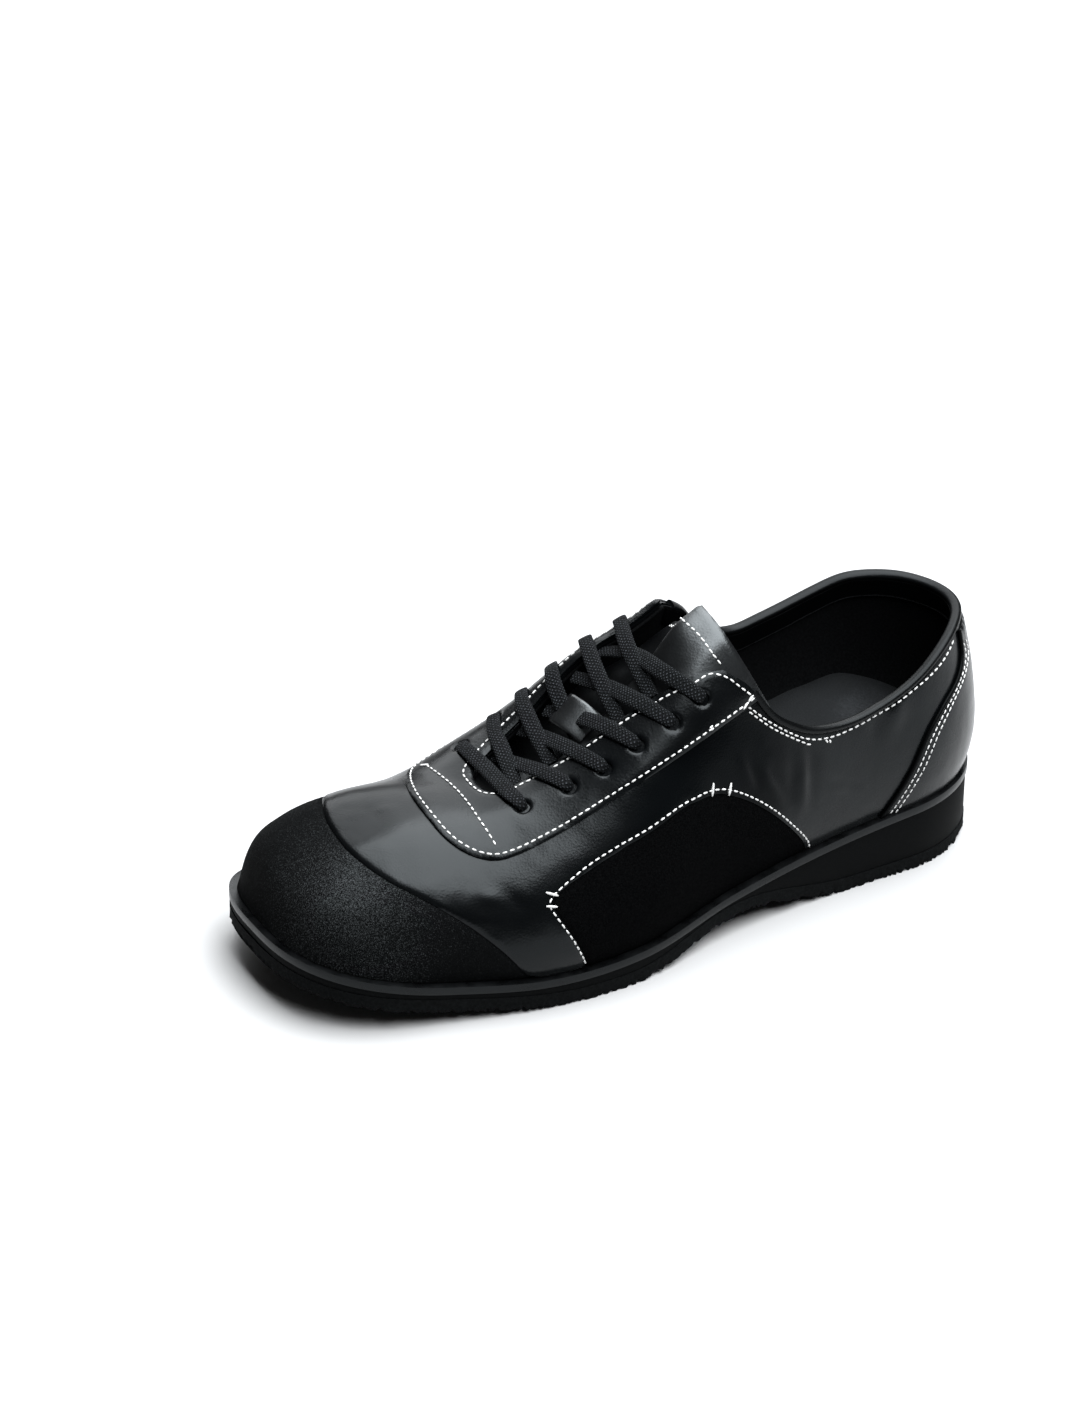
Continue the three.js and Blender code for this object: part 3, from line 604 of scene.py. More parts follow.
# %% Leather
def leather_finish(name, dark, pale, rough_low, rough_high, specular=.185, dull=None):
    """Grained leather. Round a dull place of the side view, given in metres, it has less gloss."""
    skin = Finish(name, .4, specular)
    if dull:
        uneven = skin.joined("MULTIPLY_ADD", skin.speckle(70), .022, skin.far_from(dull, flat=True))
        skin.drive("Specular IOR Level", skin.spread(uneven, specular * .25, specular, .036, .066))
    skin.paint(skin.speckle(28, 4), [(.35, dark), (.7, pale)])
    skin.drive("Roughness", skin.spread(skin.speckle(40), rough_low, rough_high))
    skin.relief((skin.speckle(120), .14, .5), (skin.cells(1150), .2, .14), (skin.speckle(2400, 2), .16, .08))
    return skin.material


VAMP_LEATHER = leather_finish("vamp_leather", (.0008, .001, .0012), (.0016, .002, .0023), .22, .31)
UPPER_LEATHER = leather_finish("upper_leather", (.0008, .001, .0012), (.0016, .002, .0023), .22, .31,
                               dull=(.012, 0, .068))
SOFT_LEATHER = leather_finish("tongue_leather", (.0014, .0015, .0017), (.0028, .003, .0033), .24, .42, .6)
EDGE_LEATHER = leather_finish("binding_leather", (.0006, .0007, .0008), (.0012, .0014, .0016), .3, .42, .12)
BAND_LEATHER = leather_finish("band_leather", (.0004, .0004, .0005), (.0008, .0009, .001), .4, .5, .04)
PAINTED_EDGE = leather_finish("painted_edge", (.0004, .0004, .0005), (.0007, .0008, .0009), .4, .5, .05)
print("leathers made:", len(bpy.data.materials))

# %% [markdown]
# The nap of the suede is too short to be modelled hair by hair at this distance. A fine speckle
# gives the fibre ends their colour and their bumps, a wide one the places stroked another way.
# The front of the toe is painted paler, a painted sheen where the nap catches the light, so the
# colour also follows the distance from that place.

# %% Suede
suede = Finish("black_suede", .95, .06)
fibre, patch = suede.speckle(1900, 4, .8), suede.speckle(35, 2)
# Painted sheen: the colour is paler round the front of the toe, where the nap catches the light.
wear_and_painted_sheen = suede.spread(suede.far_from((-.128, -.022, .055)), .14, 0, .006, .05)
nap_and_painted_sheen = suede.joined("ADD", suede.joined("MULTIPLY_ADD", patch, .12, fibre), wear_and_painted_sheen)
suede.paint(nap_and_painted_sheen, [(.54, (.0006, .0007, .0008)), (.66, (.0024, .0027, .0028)), (.84, (.055, .06, .062))])
suede.drive("Roughness", suede.spread(patch, .85, 1))
suede.relief((patch, .3, .5), (fibre, 1, .6))

panel_suede = Finish("panel_suede", .97, .02)
fibre = panel_suede.speckle(1500, 4, .7)
panel_suede.paint(fibre, [(.4, (.0004, .0004, .0005)), (.75, (.0026, .0027, .0028))])
panel_suede.relief((fibre, .8, .4))

# %% Rubber and foam
crepe = Finish("crepe_rubber", .9, .08)
crumb = crepe.speckle(700, 5, .65)
crepe.paint(crumb, [(.35, (.0008, .0009, .0009)), (.7, (.0038, .0042, .0044))])
crepe.relief((crepe.speckle(260), .5, .5), (crumb, .7, .35))

foam = Finish("wedge_foam", .7, .06)
pores = foam.speckle(1400)
foam.paint(pores, [(.3, (.0005, .0006, .0006)), (.7, (.0014, .0015, .0016))])
foam.relief((pores, .3, .12))

smooth_rubber = Finish("edge_strip", .5, .2)
rub = smooth_rubber.speckle(180, 4)
smooth_rubber.paint(rub, [(.3, (.0008, .0009, .001)), (.75, (.0032, .0035, .0038))])
smooth_rubber.drive("Roughness", smooth_rubber.spread(rub, .24, .38))
smooth_rubber.relief((smooth_rubber.speckle(1500), .3, .1))

# %% Lining and footbed
cloth = Finish("lining_cloth", .92, .05)
cloth.paint(cloth.speckle(1300), [(.35, (.0012, .0012, .0014)), (.75, (.004, .0042, .0045))])
cloth.relief((cloth.cells(1500), .4, .15))

bed = Finish("footbed_leather", .8, .2)
cloud, fluff = bed.speckle(45, 4), bed.speckle(1100, 4, .8)
wear_and_painted_sheen = bed.spread(bed.far_from((.118, .008, .044)), .42, .12, .01, .028)
tone = bed.joined("MULTIPLY_ADD", cloud, .3, bed.joined("MULTIPLY", fluff, wear_and_painted_sheen))
bed.paint(tone, [(.15, (.001, .0011, .0013)), (.33, (.0028, .003, .0034)), (.5, (.014, .015, .0165))])
bed.relief((cloud, .3, .8), (fluff, .8, .5))

# %% [markdown]
# A lace is woven, so its pattern has to run along it and turn with it. It reads the lace's own UV
# map, which counts millimetres. Two slanting bands multiplied with each other make the weave.

# %% Lace and thread
weaving = Finish("woven_lace", .75, .1)
bands = []
for slant in (-1, 1):
    turned = weaving.node("Mapping", {"Vector": weaving.where.outputs["UV"], "Scale": (slant, 1, 1)})
    band = weaving.node("TexWave", {"Vector": turned.outputs["Vector"], "Scale": .4, "Distortion": .8})
    band.wave_type, band.bands_direction = "BANDS", "DIAGONAL"
    bands.append(band.outputs["Fac"])
weave, knit = weaving.joined("MULTIPLY", *bands), weaving.speckle(2.2, 3, .6, "UV")
glint = weaving.joined("MULTIPLY_ADD", weave, .35, knit)
weaving.paint(glint, [(.5, (.0003, .0004, .0005)), (.7, (.0011, .0013, .0017)), (.9, (.045, .049, .055))])
weaving.relief((weave, .8, .4), (knit, .7, .25))

thread = Finish("white_thread", .6, .4)
thread.paint(thread.speckle(900, 2), [(.3, (.42, .42, .41)), (.7, (.7, .7, .69))])
thread.relief((thread.speckle(5000, 2), .4, .05))
print("finishes made:", len(bpy.data.materials))

# %% [markdown]
# The sole is a stack of four sheets cut to one outline: the crepe outsole with its crumbly edge,
# the foam wedge, the edge strip that stands out past the upper, and the footbed inside. A flat
# outline could be extruded, but the sheets rise and fall along the shoe. So a grid is laid
# between the two edges, and its top is drawn up to a height that changes with the length.

# %% Sole sheets
def sole_sheet(bottom, top, inset, bevel=0.0, rows=0, stations=300, across=18):
    """A sheet between two heights that follow the shoe's length."""
    share = even_shares(stations)
    edges = [sole_edge(share, side) for side in (-1, 1)]
    near, far = [edge - out * inset for edge, out in edges]
    mix = np.linspace(0, 1, across + 1)[None, :, None]
    flat = near[:, None] * (1 - mix) + far[:, None] * mix
    height = bottom(share_of(flat[..., 0]))
    bm = grid_sheet(np.concatenate([flat, height[..., None]], 2))
    raised = bmesh.ops.extrude_face_region(bm, geom=bm.faces[:])["geom"]
    for v in raised:
        if isinstance(v, bmesh.types.BMVert):
            v.co.z = float(top(share_of(v.co.x)))
    bmesh.ops.recalc_face_normals(bm, faces=bm.faces)
    bm.normal_update()
    rim = [e for e in bm.edges if len(e.link_faces) == 2 and e.calc_face_angle() > 1]
    if bevel:
        top_rim = [e for e in rim if abs(e.verts[0].co.z - e.verts[1].co.z) < .5
                   or abs(e.verts[0].co.x - e.verts[1].co.x) > .01]
        bmesh.ops.bevel(bm, geom=top_rim, offset=bevel, offset_type="OFFSET", segments=2,
                        profile=.5, affect="EDGES", material=-1, clamp_overlap=True)
    if rows:
        upright = [e for e in bm.edges if abs(e.verts[0].co.z - e.verts[1].co.z) > 2
                   and (e.verts[0].co.xy - e.verts[1].co.xy).length < .05]
        bmesh.ops.subdivide_edges(bm, edges=upright, cuts=rows)
    return bm


OUTSOLE, WELT = 5.8, 3.3
bm = sole_sheet(underside, lambda s: underside(s) + OUTSOLE, inset=0, rows=4, stations=420)
bm.normal_update()
for v in bm.verts:
    rim_turn = max((f.normal.xy.length for f in v.link_faces), default=0)
    if rim_turn > .8:
        crumb = noise.noise(v.co * .9) * .45 + noise.noise(v.co * 2.3) * .3
        low = max(0, 1 - (v.co.z - float(underside(share_of(v.co.x)))) / 2.2)
        notch = max(0, noise.noise(Vector((v.co.x, v.co.y, 3)) * .75) + .1) * 1.7 * low
        out = Vector((v.normal.x, v.normal.y, 0)).normalized()
        v.co += out * (crumb * (.4 + .6 * low) - .25 - notch * .5)
        v.co.z += notch
finish_piece(bm, "crepe_outsole", crepe.material, ["outsole"], sharp=60)

bm = sole_sheet(lambda s: underside(s) + OUTSOLE + .1, lambda s: sole_top(s) - WELT - .1, inset=.5, bevel=.3)
finish_piece(bm, "foam_wedge", foam.material, ["midsole_wedge"])
bm = sole_sheet(lambda s: sole_top(s) - WELT, sole_top, inset=0, bevel=.75)
finish_piece(bm, "edge_strip", smooth_rubber.material, ["welt"])


HEEL_PAD, PAD_FALL, ARCH_PAD = 13, 5, 6


def heel_pad(share):
    """How much thicker the footbed is under the heel."""
    x = along_x(share)
    return HEEL_PAD * ease((x + 10) / 80) - PAD_FALL * ease((x - 105) / 40)


bm = sole_sheet(lambda s: sole_top(s) + .3, lambda s: sole_top(s) + 3.3 + heel_pad(s), inset=6.8, bevel=.8)
for v in bm.verts:
    if v.normal.z > .7:
        x, y = v.co.x, v.co.y
        v.co.z += 1.1 * noise.noise(v.co / 14) * ease((x - 40) / 30)
        v.co.z += ARCH_PAD * ease((y - 2) / 24) * ease((x - 15) / 45) * ease((152 - x) / 40)
finish_piece(bm, "footbed", bed.material, ["insole"])

# %% [markdown]
# The upper is one sheet of leather with the collar and the throat cut out and windows for the
# suede. Its shape comes from the last. The windows and the collar leave rounded cut edges.

# %% Patterns
# Lines on the last: x, y, z in mm, from the outer side over the top to the inner side.
CAP_EDGE = [
    (-66, -50, 8), (-69.7, -50, 15.7), (-77.7, -48.8, 26.9), (-87.4, -42.5, 37.4),
    (-101.6, -32.4, 48.8), (-113.7, -20.8, 56.7), (-119.5, -5.2, 60.5), (-118.4, 13, 60.6),
    (-114.8, 24.6, 60), (-106, 37, 52), (-92, 46.4, 40), (-80, 52, 27), (-70, 54, 15), (-66, 54, 8),
]
APRON_SEAM = [
    (60, -34, 108), (46, -34, 102.5), (35, -34.6, 98.3), (26.7, -35.6, 95.6), (15.2, -36.8, 91.8),
    (-6.9, -37.5, 83.5), (-27.4, -35.6, 74.2), (-47.6, -33.3, 65), (-65, -31.3, 59.5),
    (-74, -28.5, 58.5), (-81.7, -21.2, 61.1), (-85.4, -10.3, 65.2), (-84.6, 8.8, 67.2),
    (-77.2, 26, 63.2), (-67.6, 34.2, 61.5), (-47.6, 37.3, 65), (-27.4, 39, 73.5), (-12, 41, 78.5),
    (2, 42, 82), (15, 42, 85), (26.7, 41, 88), (35, 40, 90.5), (46, 39, 94), (60, 38, 98),
]
PANEL = [
    [.66, 0], [.65, .1], [.69, .305], [.693, .338], [.68, .36], [.643, .398], [.6, .437],
    [.554, .471], [.512, .503], [.485, .514], [.458, .513], [.433, .494], [.399, .445],
    [.364, .375], [.334, .3], [.309, .224], [.3, .17], [.297, .1], [.297, 0],
]
COUNTER_EDGE = [
    [.047, .8], [.051, .7], [.052, .63], [.067, .582], [.099, .534], [.128, .463], [.151, .358],
    [.186, .212], [.2, .15],
]
TONGUE_EDGE = [
    [.74, .074], [.735, -.16], [.71, -.3], [.64, -.45], [.56, -.53], [.48, -.6], [.41, -.66],
    [.37, -.69], [.34, -.7], [.33, -.5], [.33, 0], [.33, .5], [.35, .6], [.405, .64],
    [.48, .66], [.56, .61], [.64, .56], [.71, .45], [.735, .31], [.74, .074],
]
panel_outline = flow(seen_aside(PANEL), 120)
counter_outline = np.concatenate([flow(seen_aside(COUNTER_EDGE), 60), [[180, 0], [180, 130]]])
tongue_outline = flow(seen_above(TONGUE_EDGE), 120)[:-1]
print("points on the outlines:", len(panel_outline), len(counter_outline), len(tongue_outline))

# %% Eyelets
# Front row first: share of the length and height in the side view.
EYELETS = [[.683, .523], [.626, .572], [.583, .621], [.541, .679], [.495, .731], [.4535, .784]]


def on_side(x, z, side):
    """Point and outward direction of the last at a place of the side view."""
    mid = float(HALF_BALL * curve_value(THROAT, 1, share_of(x)))
    spot, out, _, _ = SKIN.ray_cast(Vector((x, mid + side * 120, z)), Vector((0, -side, 0)))
    return spot, out


def on_last(x, y, z):
    spot, out, _, _ = SKIN.find_nearest(Vector((x, y, z)))
    return spot, out


eyelets = {}
for row, (share, height) in enumerate(EYELETS):
    for side in (-1, 1):
        eyelets[row, side] = on_side(float(along_x(share)), height * INSTEP, side)
print("eyelets:", len(eyelets))


def punch(bm, radius):
    """Makes the sheet fine round the eyelets, then cuts the holes."""
    for spot, _ in eyelets.values():
        for reach in (4.5, 3.4):
            near = [f for f in bm.faces if (f.calc_center_median() - spot).length < reach]
            ring = {e for f in near for e in f.edges}
            bmesh.ops.subdivide_edges(bm, edges=list(ring), cuts=1, use_grid_fill=True)
    spots = np.array([s[:] for s, _ in eyelets.values()])
    outs = np.array([o[:] for _, o in eyelets.values()])

    def field(p):
        away = p[:, None] - spots[None]
        depth = (away * outs[None]).sum(2)
        flat = np.sqrt(np.maximum((away**2).sum(2) - depth**2, 0))
        return radius - flat.min(1)
    return trim(bm, field, seam=False)


# %% Lines drawn on the last
ROUND = 45.0


def round_angle(p):
    """Way round a line inside the last, in mm: negative outside, 0 on top, positive inside."""
    mid = HALF_BALL * curve_value(RIDGE, 2, share_of(p[:, 0]))
    height = np.interp(p[:, 0], [-120, -40], [14, 39])
    return ROUND * np.arctan2(p[:, 1] - mid, p[:, 2] - height)


def reach_from(p, line):
    """Distance of each point from a line in space."""
    best = np.full(len(p), 1e9)
    for a, b in zip(line, line[1:]):
        step = b - a
        t = np.clip(((p - a) @ step) / (step @ step + 1e-12), 0, 1)
        best = np.minimum(best, np.linalg.norm(p - a - t[:, None] * step, axis=1))
    return best


def drawn(curve, closing, margin=0.0, count=150):
    """Positive inside a line drawn on the last, which may be moved outwards by a margin."""
    line = np.array([on_last(*p)[0][:] for p in flow(curve, count)])
    outline = np.concatenate([np.stack([line[:, 0], round_angle(line)], 1), closing])

    def field(p):
        within = inside(np.stack([p[:, 0], round_angle(p)], 1), outline)
        return np.sign(within) * reach_from(p, line) + margin
    return field


cap_field = drawn(CAP_EDGE, [[-66, 125], [-200, 125], [-200, -125], [-66, -125]])
apron_field = drawn(APRON_SEAM, [[60, 0]], 2.0)

# %% Leather upper
def cut_out(bm, *fields, seam=True):
    for field in fields:
        trim(bm, field, seam)
    return bm


upper = cut_out(sheet_of(FINE), above_topline(), from_above(throat_outline()))
cut_out(upper, cap_field, seam=False)
cut_out(upper, from_side(panel_outline, -1), from_side(panel_outline, 1))
thicken(upper, -1.2, 0, rounding=.55, reach=1.6, furrow=.12, furrow_at=1.8)
UPPER_SKIN = BVHTree.FromBMesh(upper)
finish_piece(upper, "leather_upper", UPPER_LEATHER, ["upper"])

lining = cut_out(sheet_of(COARSE), above_topline(), from_above(throat_outline()))
thicken(lining, -2.7, -1.6)
finish_piece(lining, "cloth_lining", cloth.material)

# %% [markdown]
# The suede lies in the windows, a little lower than the leather, and turns down into the groove
# along the leather's edge. Paint on the leather could show it too, but only a piece of its own
# has a step along its edge that catches the light.

# %% Suede pieces
def keep(field):
    return lambda p: -field(p)


def shrink(field, margin):
    return lambda p: field(p) - margin


def suede_piece(field, name, finish, node):
    bm = trim(sheet_of(FINE), keep(shrink(field, .12)))
    thicken(bm, -1.5, -.35, rounding=.55, reach=1.2)
    finish_piece(bm, name, finish.material, [node])


suede_piece(cap_field, "suede_toe_cap", suede, "toe_cap")
suede_piece(from_side(panel_outline, -1), "suede_panel_outer", panel_suede, "side_panel_lateral")
suede_piece(from_side(panel_outline, 1), "suede_panel_inner", panel_suede, "side_panel_medial")

# %% [markdown]
# The lace facing, the heel counter and the tongue are cut from the same sheet and lie on the
# upper or under it.

# %% Facing, counter and tongue
facing = cut_out(sheet_of(FINE), keep(apron_field), above_topline(), from_above(throat_outline()))
cut_out(facing, lambda p: p[:, 0] - 35.7 - 7 * np.clip(p[:, 1] / 30, 0, 1), seam=False)
punch(facing, 2.6)
thicken(facing, .03, 1.4, rounding=.7, reach=1.5, furrow=.3, furrow_at=2.0)
FACING_SKIN = BVHTree.FromBMesh(facing)
finish_piece(facing, "eyelet_facing", VAMP_LEATHER, ["lace_facing"])

counter = trim(sheet_of(FINE), keep(from_side(counter_outline)))
cut_out(counter, above_topline(-3.5), seam=False)
thicken(counter, .03, 1.3, rounding=.7, reach=1.5, furrow=.2, furrow_at=2.2)
COUNTER_SKIN = BVHTree.FromBMesh(counter)
finish_piece(counter, "heel_counter_leather", VAMP_LEATHER, ["heel_counter"])


def tongue_end(p):
    """Positive behind the slanted free end of the tongue."""
    low, high = along_x(.346), along_x(.4163)
    run, rise = low - high, .35 * INSTEP
    size = math.hypot(rise, run)
    return (p[:, 0] - low) * rise / size + (p[:, 2] - .66 * INSTEP) * run / size


tongue = trim(sheet_of(FINE), keep(from_above(tongue_outline)))
cut_out(tongue, tongue_end, lambda p: INSTEP * .3 - p[:, 2])
# The inner half has sunk, the laces press the front down, and the top swells behind the last one.
for v in tongue.verts:
    x, y = v.co.x, v.co.y
    sunk = 10 * ease((y + 5) / 11) * ease((x + 62) / 20)
    v.co.z -= sunk + 1.2 * ease((x + 60) / 15) * ease((-2 - x) / 15)
    v.co.z += 4.2 * math.exp(-(((x - 13) / 10) ** 2) - ((y + 9) / 12) ** 2)
thicken(tongue, -5.1, -3.0, rounding=.8, reach=2)
TONGUE_SKIN = BVHTree.FromBMesh(tongue)
finish_piece(tongue, "padded_tongue", SOFT_LEATHER, ["tongue"])

# %% [markdown]
# Rolled collar edge, laces and the lace keeper are strips led along a line. One function carries
# a rounded section along a row of points. A curve with a bevel would do for the collar, but a
# lace narrows at its eyelet and needs a weave that runs along it, so each strip is a grid whose
# width may change on the way and which has a UV map in millimetres.

# %% Strips along a line
def strip(spine, ups, widths, thicks, around=14, square=2.8, offset=(0, 0)):
    """A closed strip. Each section is a rounded rectangle, wide across and thick upwards."""
    spine = [Vector(p) for p in spine]
    widths, thicks = (np.broadcast_to(size, len(spine)) for size in (widths, thicks))
    count = len(spine) - 1
    walked = [0.0]
    for a, b in zip(spine, spine[1:]):
        walked.append(walked[-1] + (b - a).length)
    places = np.empty((around + 1, count + 1, 3))
    for k, point in enumerate(spine):
        ahead = (spine[min(k + 1, count)] - spine[max(k - 1, 0)]).normalized()
        up = (Vector(ups[k]) - ahead * ahead.dot(Vector(ups[k]))).normalized()
        aside = ahead.cross(up)
        for n in range(around + 1):
            turn = 2 * math.pi * n / around
            c, s = math.cos(turn), math.sin(turn)
            a = math.copysign(abs(c) ** (2 / square), c) * widths[k] / 2 + offset[0]
            b = math.copysign(abs(s) ** (2 / square), s) * thicks[k] / 2 + offset[1]
            places[n, k] = point + aside * a + up * b
    bm = bmesh.new()
    uv = bm.loops.layers.uv.new("UVMap")
    bmesh.ops.create_grid(bm, x_segments=around, y_segments=count, size=1)
    for f in bm.faces:
        for loop in f.loops:
            n = round((loop.vert.co.x + 1) / 2 * around)
            k = round((loop.vert.co.y + 1) / 2 * count)
            loop[uv].uv = (math.cos(2 * math.pi * n / around) * widths[k] / 2, walked[k])
    for v in bm.verts:
        v.co = places[round((v.co.x + 1) / 2 * around), round((v.co.y + 1) / 2 * count)]
    bmesh.ops.remove_doubles(bm, verts=bm.verts, dist=1e-4)
    bmesh.ops.holes_fill(bm, edges=[e for e in bm.edges if e.is_boundary], sides=0)
    bmesh.ops.recalc_face_normals(bm, faces=bm.faces)
    return bm


def even_line(points, count):
    """The same line with evenly spaced points."""
    points = np.array([p[:] for p in points], float)
    walked = np.concatenate([[0], np.linalg.norm(np.diff(points, axis=0), axis=1).cumsum()])
    marks = np.linspace(0, walked[-1], count + 1)
    return np.stack([np.interp(marks, walked, points[:, i]) for i in range(points.shape[1])], 1)


def calmed(line):
    """The same line without its small wobbles. The ends stay."""
    for _ in range(3):
        line[1:-1] = (line[:-2] + 2 * line[1:-1] + line[2:]) / 4
    return line


# %% Rolled collar edge
def collar_line(shift=0, front=33.5):
    """Points of the last along the topline, from the outer front corner round the heel."""
    ribs = 96
    grid = last_points(240, ribs)
    field = above_topline(shift)
    found = []
    for rows in (range(240, -1, -1), range(1, 241)):
        outer = rows.start == 240
        for k in rows:
            rib = grid[k, :ribs + 1] if outer else grid[k, :ribs - 1:-1]
            value = field(rib)
            cross = np.nonzero((value[:-1] < 0) & (value[1:] >= 0))[0]
            if len(cross):
                j = cross[0]
                t = value[j] / (value[j] - value[j + 1])
                spot = rib[j] * (1 - t) + rib[j + 1] * t
                if spot[0] > front:
                    found.append(spot)
    return even_line(found, 150)


collar = calmed(collar_line())
outs = [on_last(*p)[1] for p in collar]
bm = strip(collar, outs, 3.0, 4.4, around=16, square=2.3, offset=(.1, -.95))
finish_piece(bm, "rolled_collar_edge", EDGE_LEATHER, ["collar_binding"])

BAND = -9.5
band = cut_out(sheet_of(COARSE), above_topline(-1), keep(above_topline(BAND)), lambda p: 30 - p[:, 0])
thicken(band, -3.4, -2.75, rounding=.3)
finish_piece(band, "inner_collar_band", BAND_LEATHER)

low_edge = calmed(collar_line(BAND, 40))
outs = [on_last(*p)[1] for p in low_edge]
bm = strip(low_edge, outs, .55, .7, around=8, square=2, offset=(0, -3.3))
finish_piece(bm, "band_cut_edge", cloth.material)

# The edge of the counter is painted black and stands up a little.
for side, name in ((-1, "outer"), (1, "inner")):
    painted = [on_side(x, z, side) for x, z in flow(seen_aside(COUNTER_EDGE[1:-1]), 50)]
    spots, outs = zip(*[(spot, out) for spot, out in painted if spot is not None])
    bm = strip(spots, outs, 1.9, 1.5, around=12, square=2.4, offset=(0, .75))
    finish_piece(bm, "counter_painted_edge_" + name, PAINTED_EDGE)

# %% Laces
# Each waypoint: x, y, z of a place on the last in mm, height over it, width of the lace.
near_end = {row: eyelets[row, -1][0] for row in range(6)}
far_end = {row: eyelets[row, 1][0] for row in range(6)}
LOW_PATHS = {
    1: [(-42, -11.5, 74.2, 2.4, 6.4), (-45.5, 3.4, 71.7, .4, 6.2), (-48.5, 14, 70.5, -1.8, 5.4)],
    2: [(-29.9, -11.8, 80.8, 2.4, 6.4), (-32.5, 5.2, 78.3, .4, 6.2), (-36, 17, 77, -1.8, 5.4)],
    3: [(-17.3, -16.6, 89.5, 2.4, 6.4), (-20.2, -.6, 86.2, .9, 6.2), (-26, 16, 83, -2, 5.4)],
    4: [(-5.3, -18.8, 98.5, 2.4, 6.4), (-8, 0, 95.9, .6, 6.2), (-13, 18, 93, -1.8, 5.4)],
    5: [(5.9, -18.9, 107.9, 2.6, 6.4), (3.4, 3.8, 106.3, .4, 6.2), (-1, 20, 100, -2.4, 5.4)],
}
HIGH_PATHS = {
    1: [(-43.7, 20, 74, 2.8, 5.8), (-46.7, 8.9, 72, 2.6, 6.4), (-51.2, -6.7, 70.3, -1.6, 5.6)],
    2: [(-29.5, 22, 80.7, 3.2, 5.8), (-33, 10.5, 79, 2.8, 6.4), (-37, -7.4, 76.4, -1.6, 5.6)],
    3: [(-17, 22.5, 91, 3.8, 5.8), (-20.3, 15, 88.8, 2.6, 6.4), (-26, -4, 85.1, -1.8, 5.6)],
    4: [(-3, 22, 100, 3.8, 5.8), (-7.2, 7.1, 97.3, 3, 6.4), (-13.4, -16, 92.7, -1.6, 5.6)],
    5: [(8.2, 20, 110.3, 3.8, 5.8), (4.1, 3.2, 106.2, 3, 6.4), (-1.6, -19.5, 101.4, -1.6, 5.6)],
}
BAR_PATH = [(-56, -11.4, 68.7, 2.9, 6.3), (-55.3, 4.9, 68.5, 3.1, 6.4), (-55.5, 17, 68.7, 3, 6)]
OUTER_SIDE = Vector((-.3, -.75, .55))


def lace(waypoints, ends=(None, None), lean=0.0):
    """A flat lace through waypoints, dipping into an eyelet at each named end.

    Its middle leans towards the outer side of the shoe by the given share.
    """
    rows = list(waypoints)
    for n, eyelet in enumerate(ends):
        if eyelet is None:
            continue
        nearest = rows[0] if n == 0 else rows[-1]
        toward = (Vector(nearest[:3]) - eyelet).normalized()
        lip = eyelet + toward * 2.6
        dip = [(*eyelet, -2.8, 3.4), (*(eyelet + toward * .3), .9, 4.0), (*lip, 2.6, 5.4)]
        rows = dip + rows if n == 0 else rows + dip[::-1]
    marks = []
    for n, (x, y, z, height, width) in enumerate(rows):
        spot, out = on_last(x, y, z)
        turned = (out + OUTER_SIDE * lean * max(0, 1 - abs(n - 2.6) / 2)).normalized()
        marks.append([*(spot + out * height), *turned, width])
    line = flow(marks, 12 * (len(marks) - 1))
    line = even_line(line, max(24, int(len(line) * .9)))
    widths = line[:, 6]
    thicks = 1.45 + .8 * np.clip((5.4 - widths) / 2, 0, 1)
    return strip(line[:, :3], line[:, 3:6], widths, thicks)


bar = lace(BAR_PATH, (near_end[0], far_end[0]))
finish_piece(bar, "lace_straight_bar", weaving.material, ["lace_bar"])
for row in range(1, 6):
    low = lace(LOW_PATHS[row], (near_end[row], None))
    finish_piece(low, f"lace_low_{row}", weaving.material, [f"lace_cross_{row}"])
    high = lace(HIGH_PATHS[row], (far_end[row], None), lean=.7)
    finish_piece(high, f"lace_high_{row}", weaving.material)

# %% Lace keeper on the tongue
keeper = []
for t in np.linspace(-1, 1, 17):
    spot, out = on_last(-21.5 - 1.5 * t, 3.5 + 9 * t, 86)
    keeper.append([*(spot + out * (-3.4 + 6 * (1 - abs(t) ** 2.6))), *out, 13.5])
keeper = np.array(keeper)
bm = strip(keeper[:, :3], keeper[:, 3:6], keeper[:, 6], 1.3, around=16, square=4)
finish_piece(bm, "lace_keeper", SOFT_LEATHER, ["tongue_loop"])

# %% [markdown]
# White thread runs beside nearly every edge. A texture could draw it, but thread stands out from
# the leather and throws a small shadow. So one stitch is made as a blunt grain of thread, and it
# is copied along each seam, laid on the leather below it, with a little unevenness.

# %% Stitch helper
def one_stitch():
    bm = bmesh.new()
    bmesh.ops.create_uvsphere(bm, u_segments=6, v_segments=5, radius=1)
    for v in bm.verts:
        v.co.z = math.copysign(abs(v.co.z) ** .6, v.co.z)
    mesh = bpy.data.meshes.new("one_stitch")
    bm.to_mesh(mesh)
    bm.free()
    return mesh


STITCH = one_stitch()


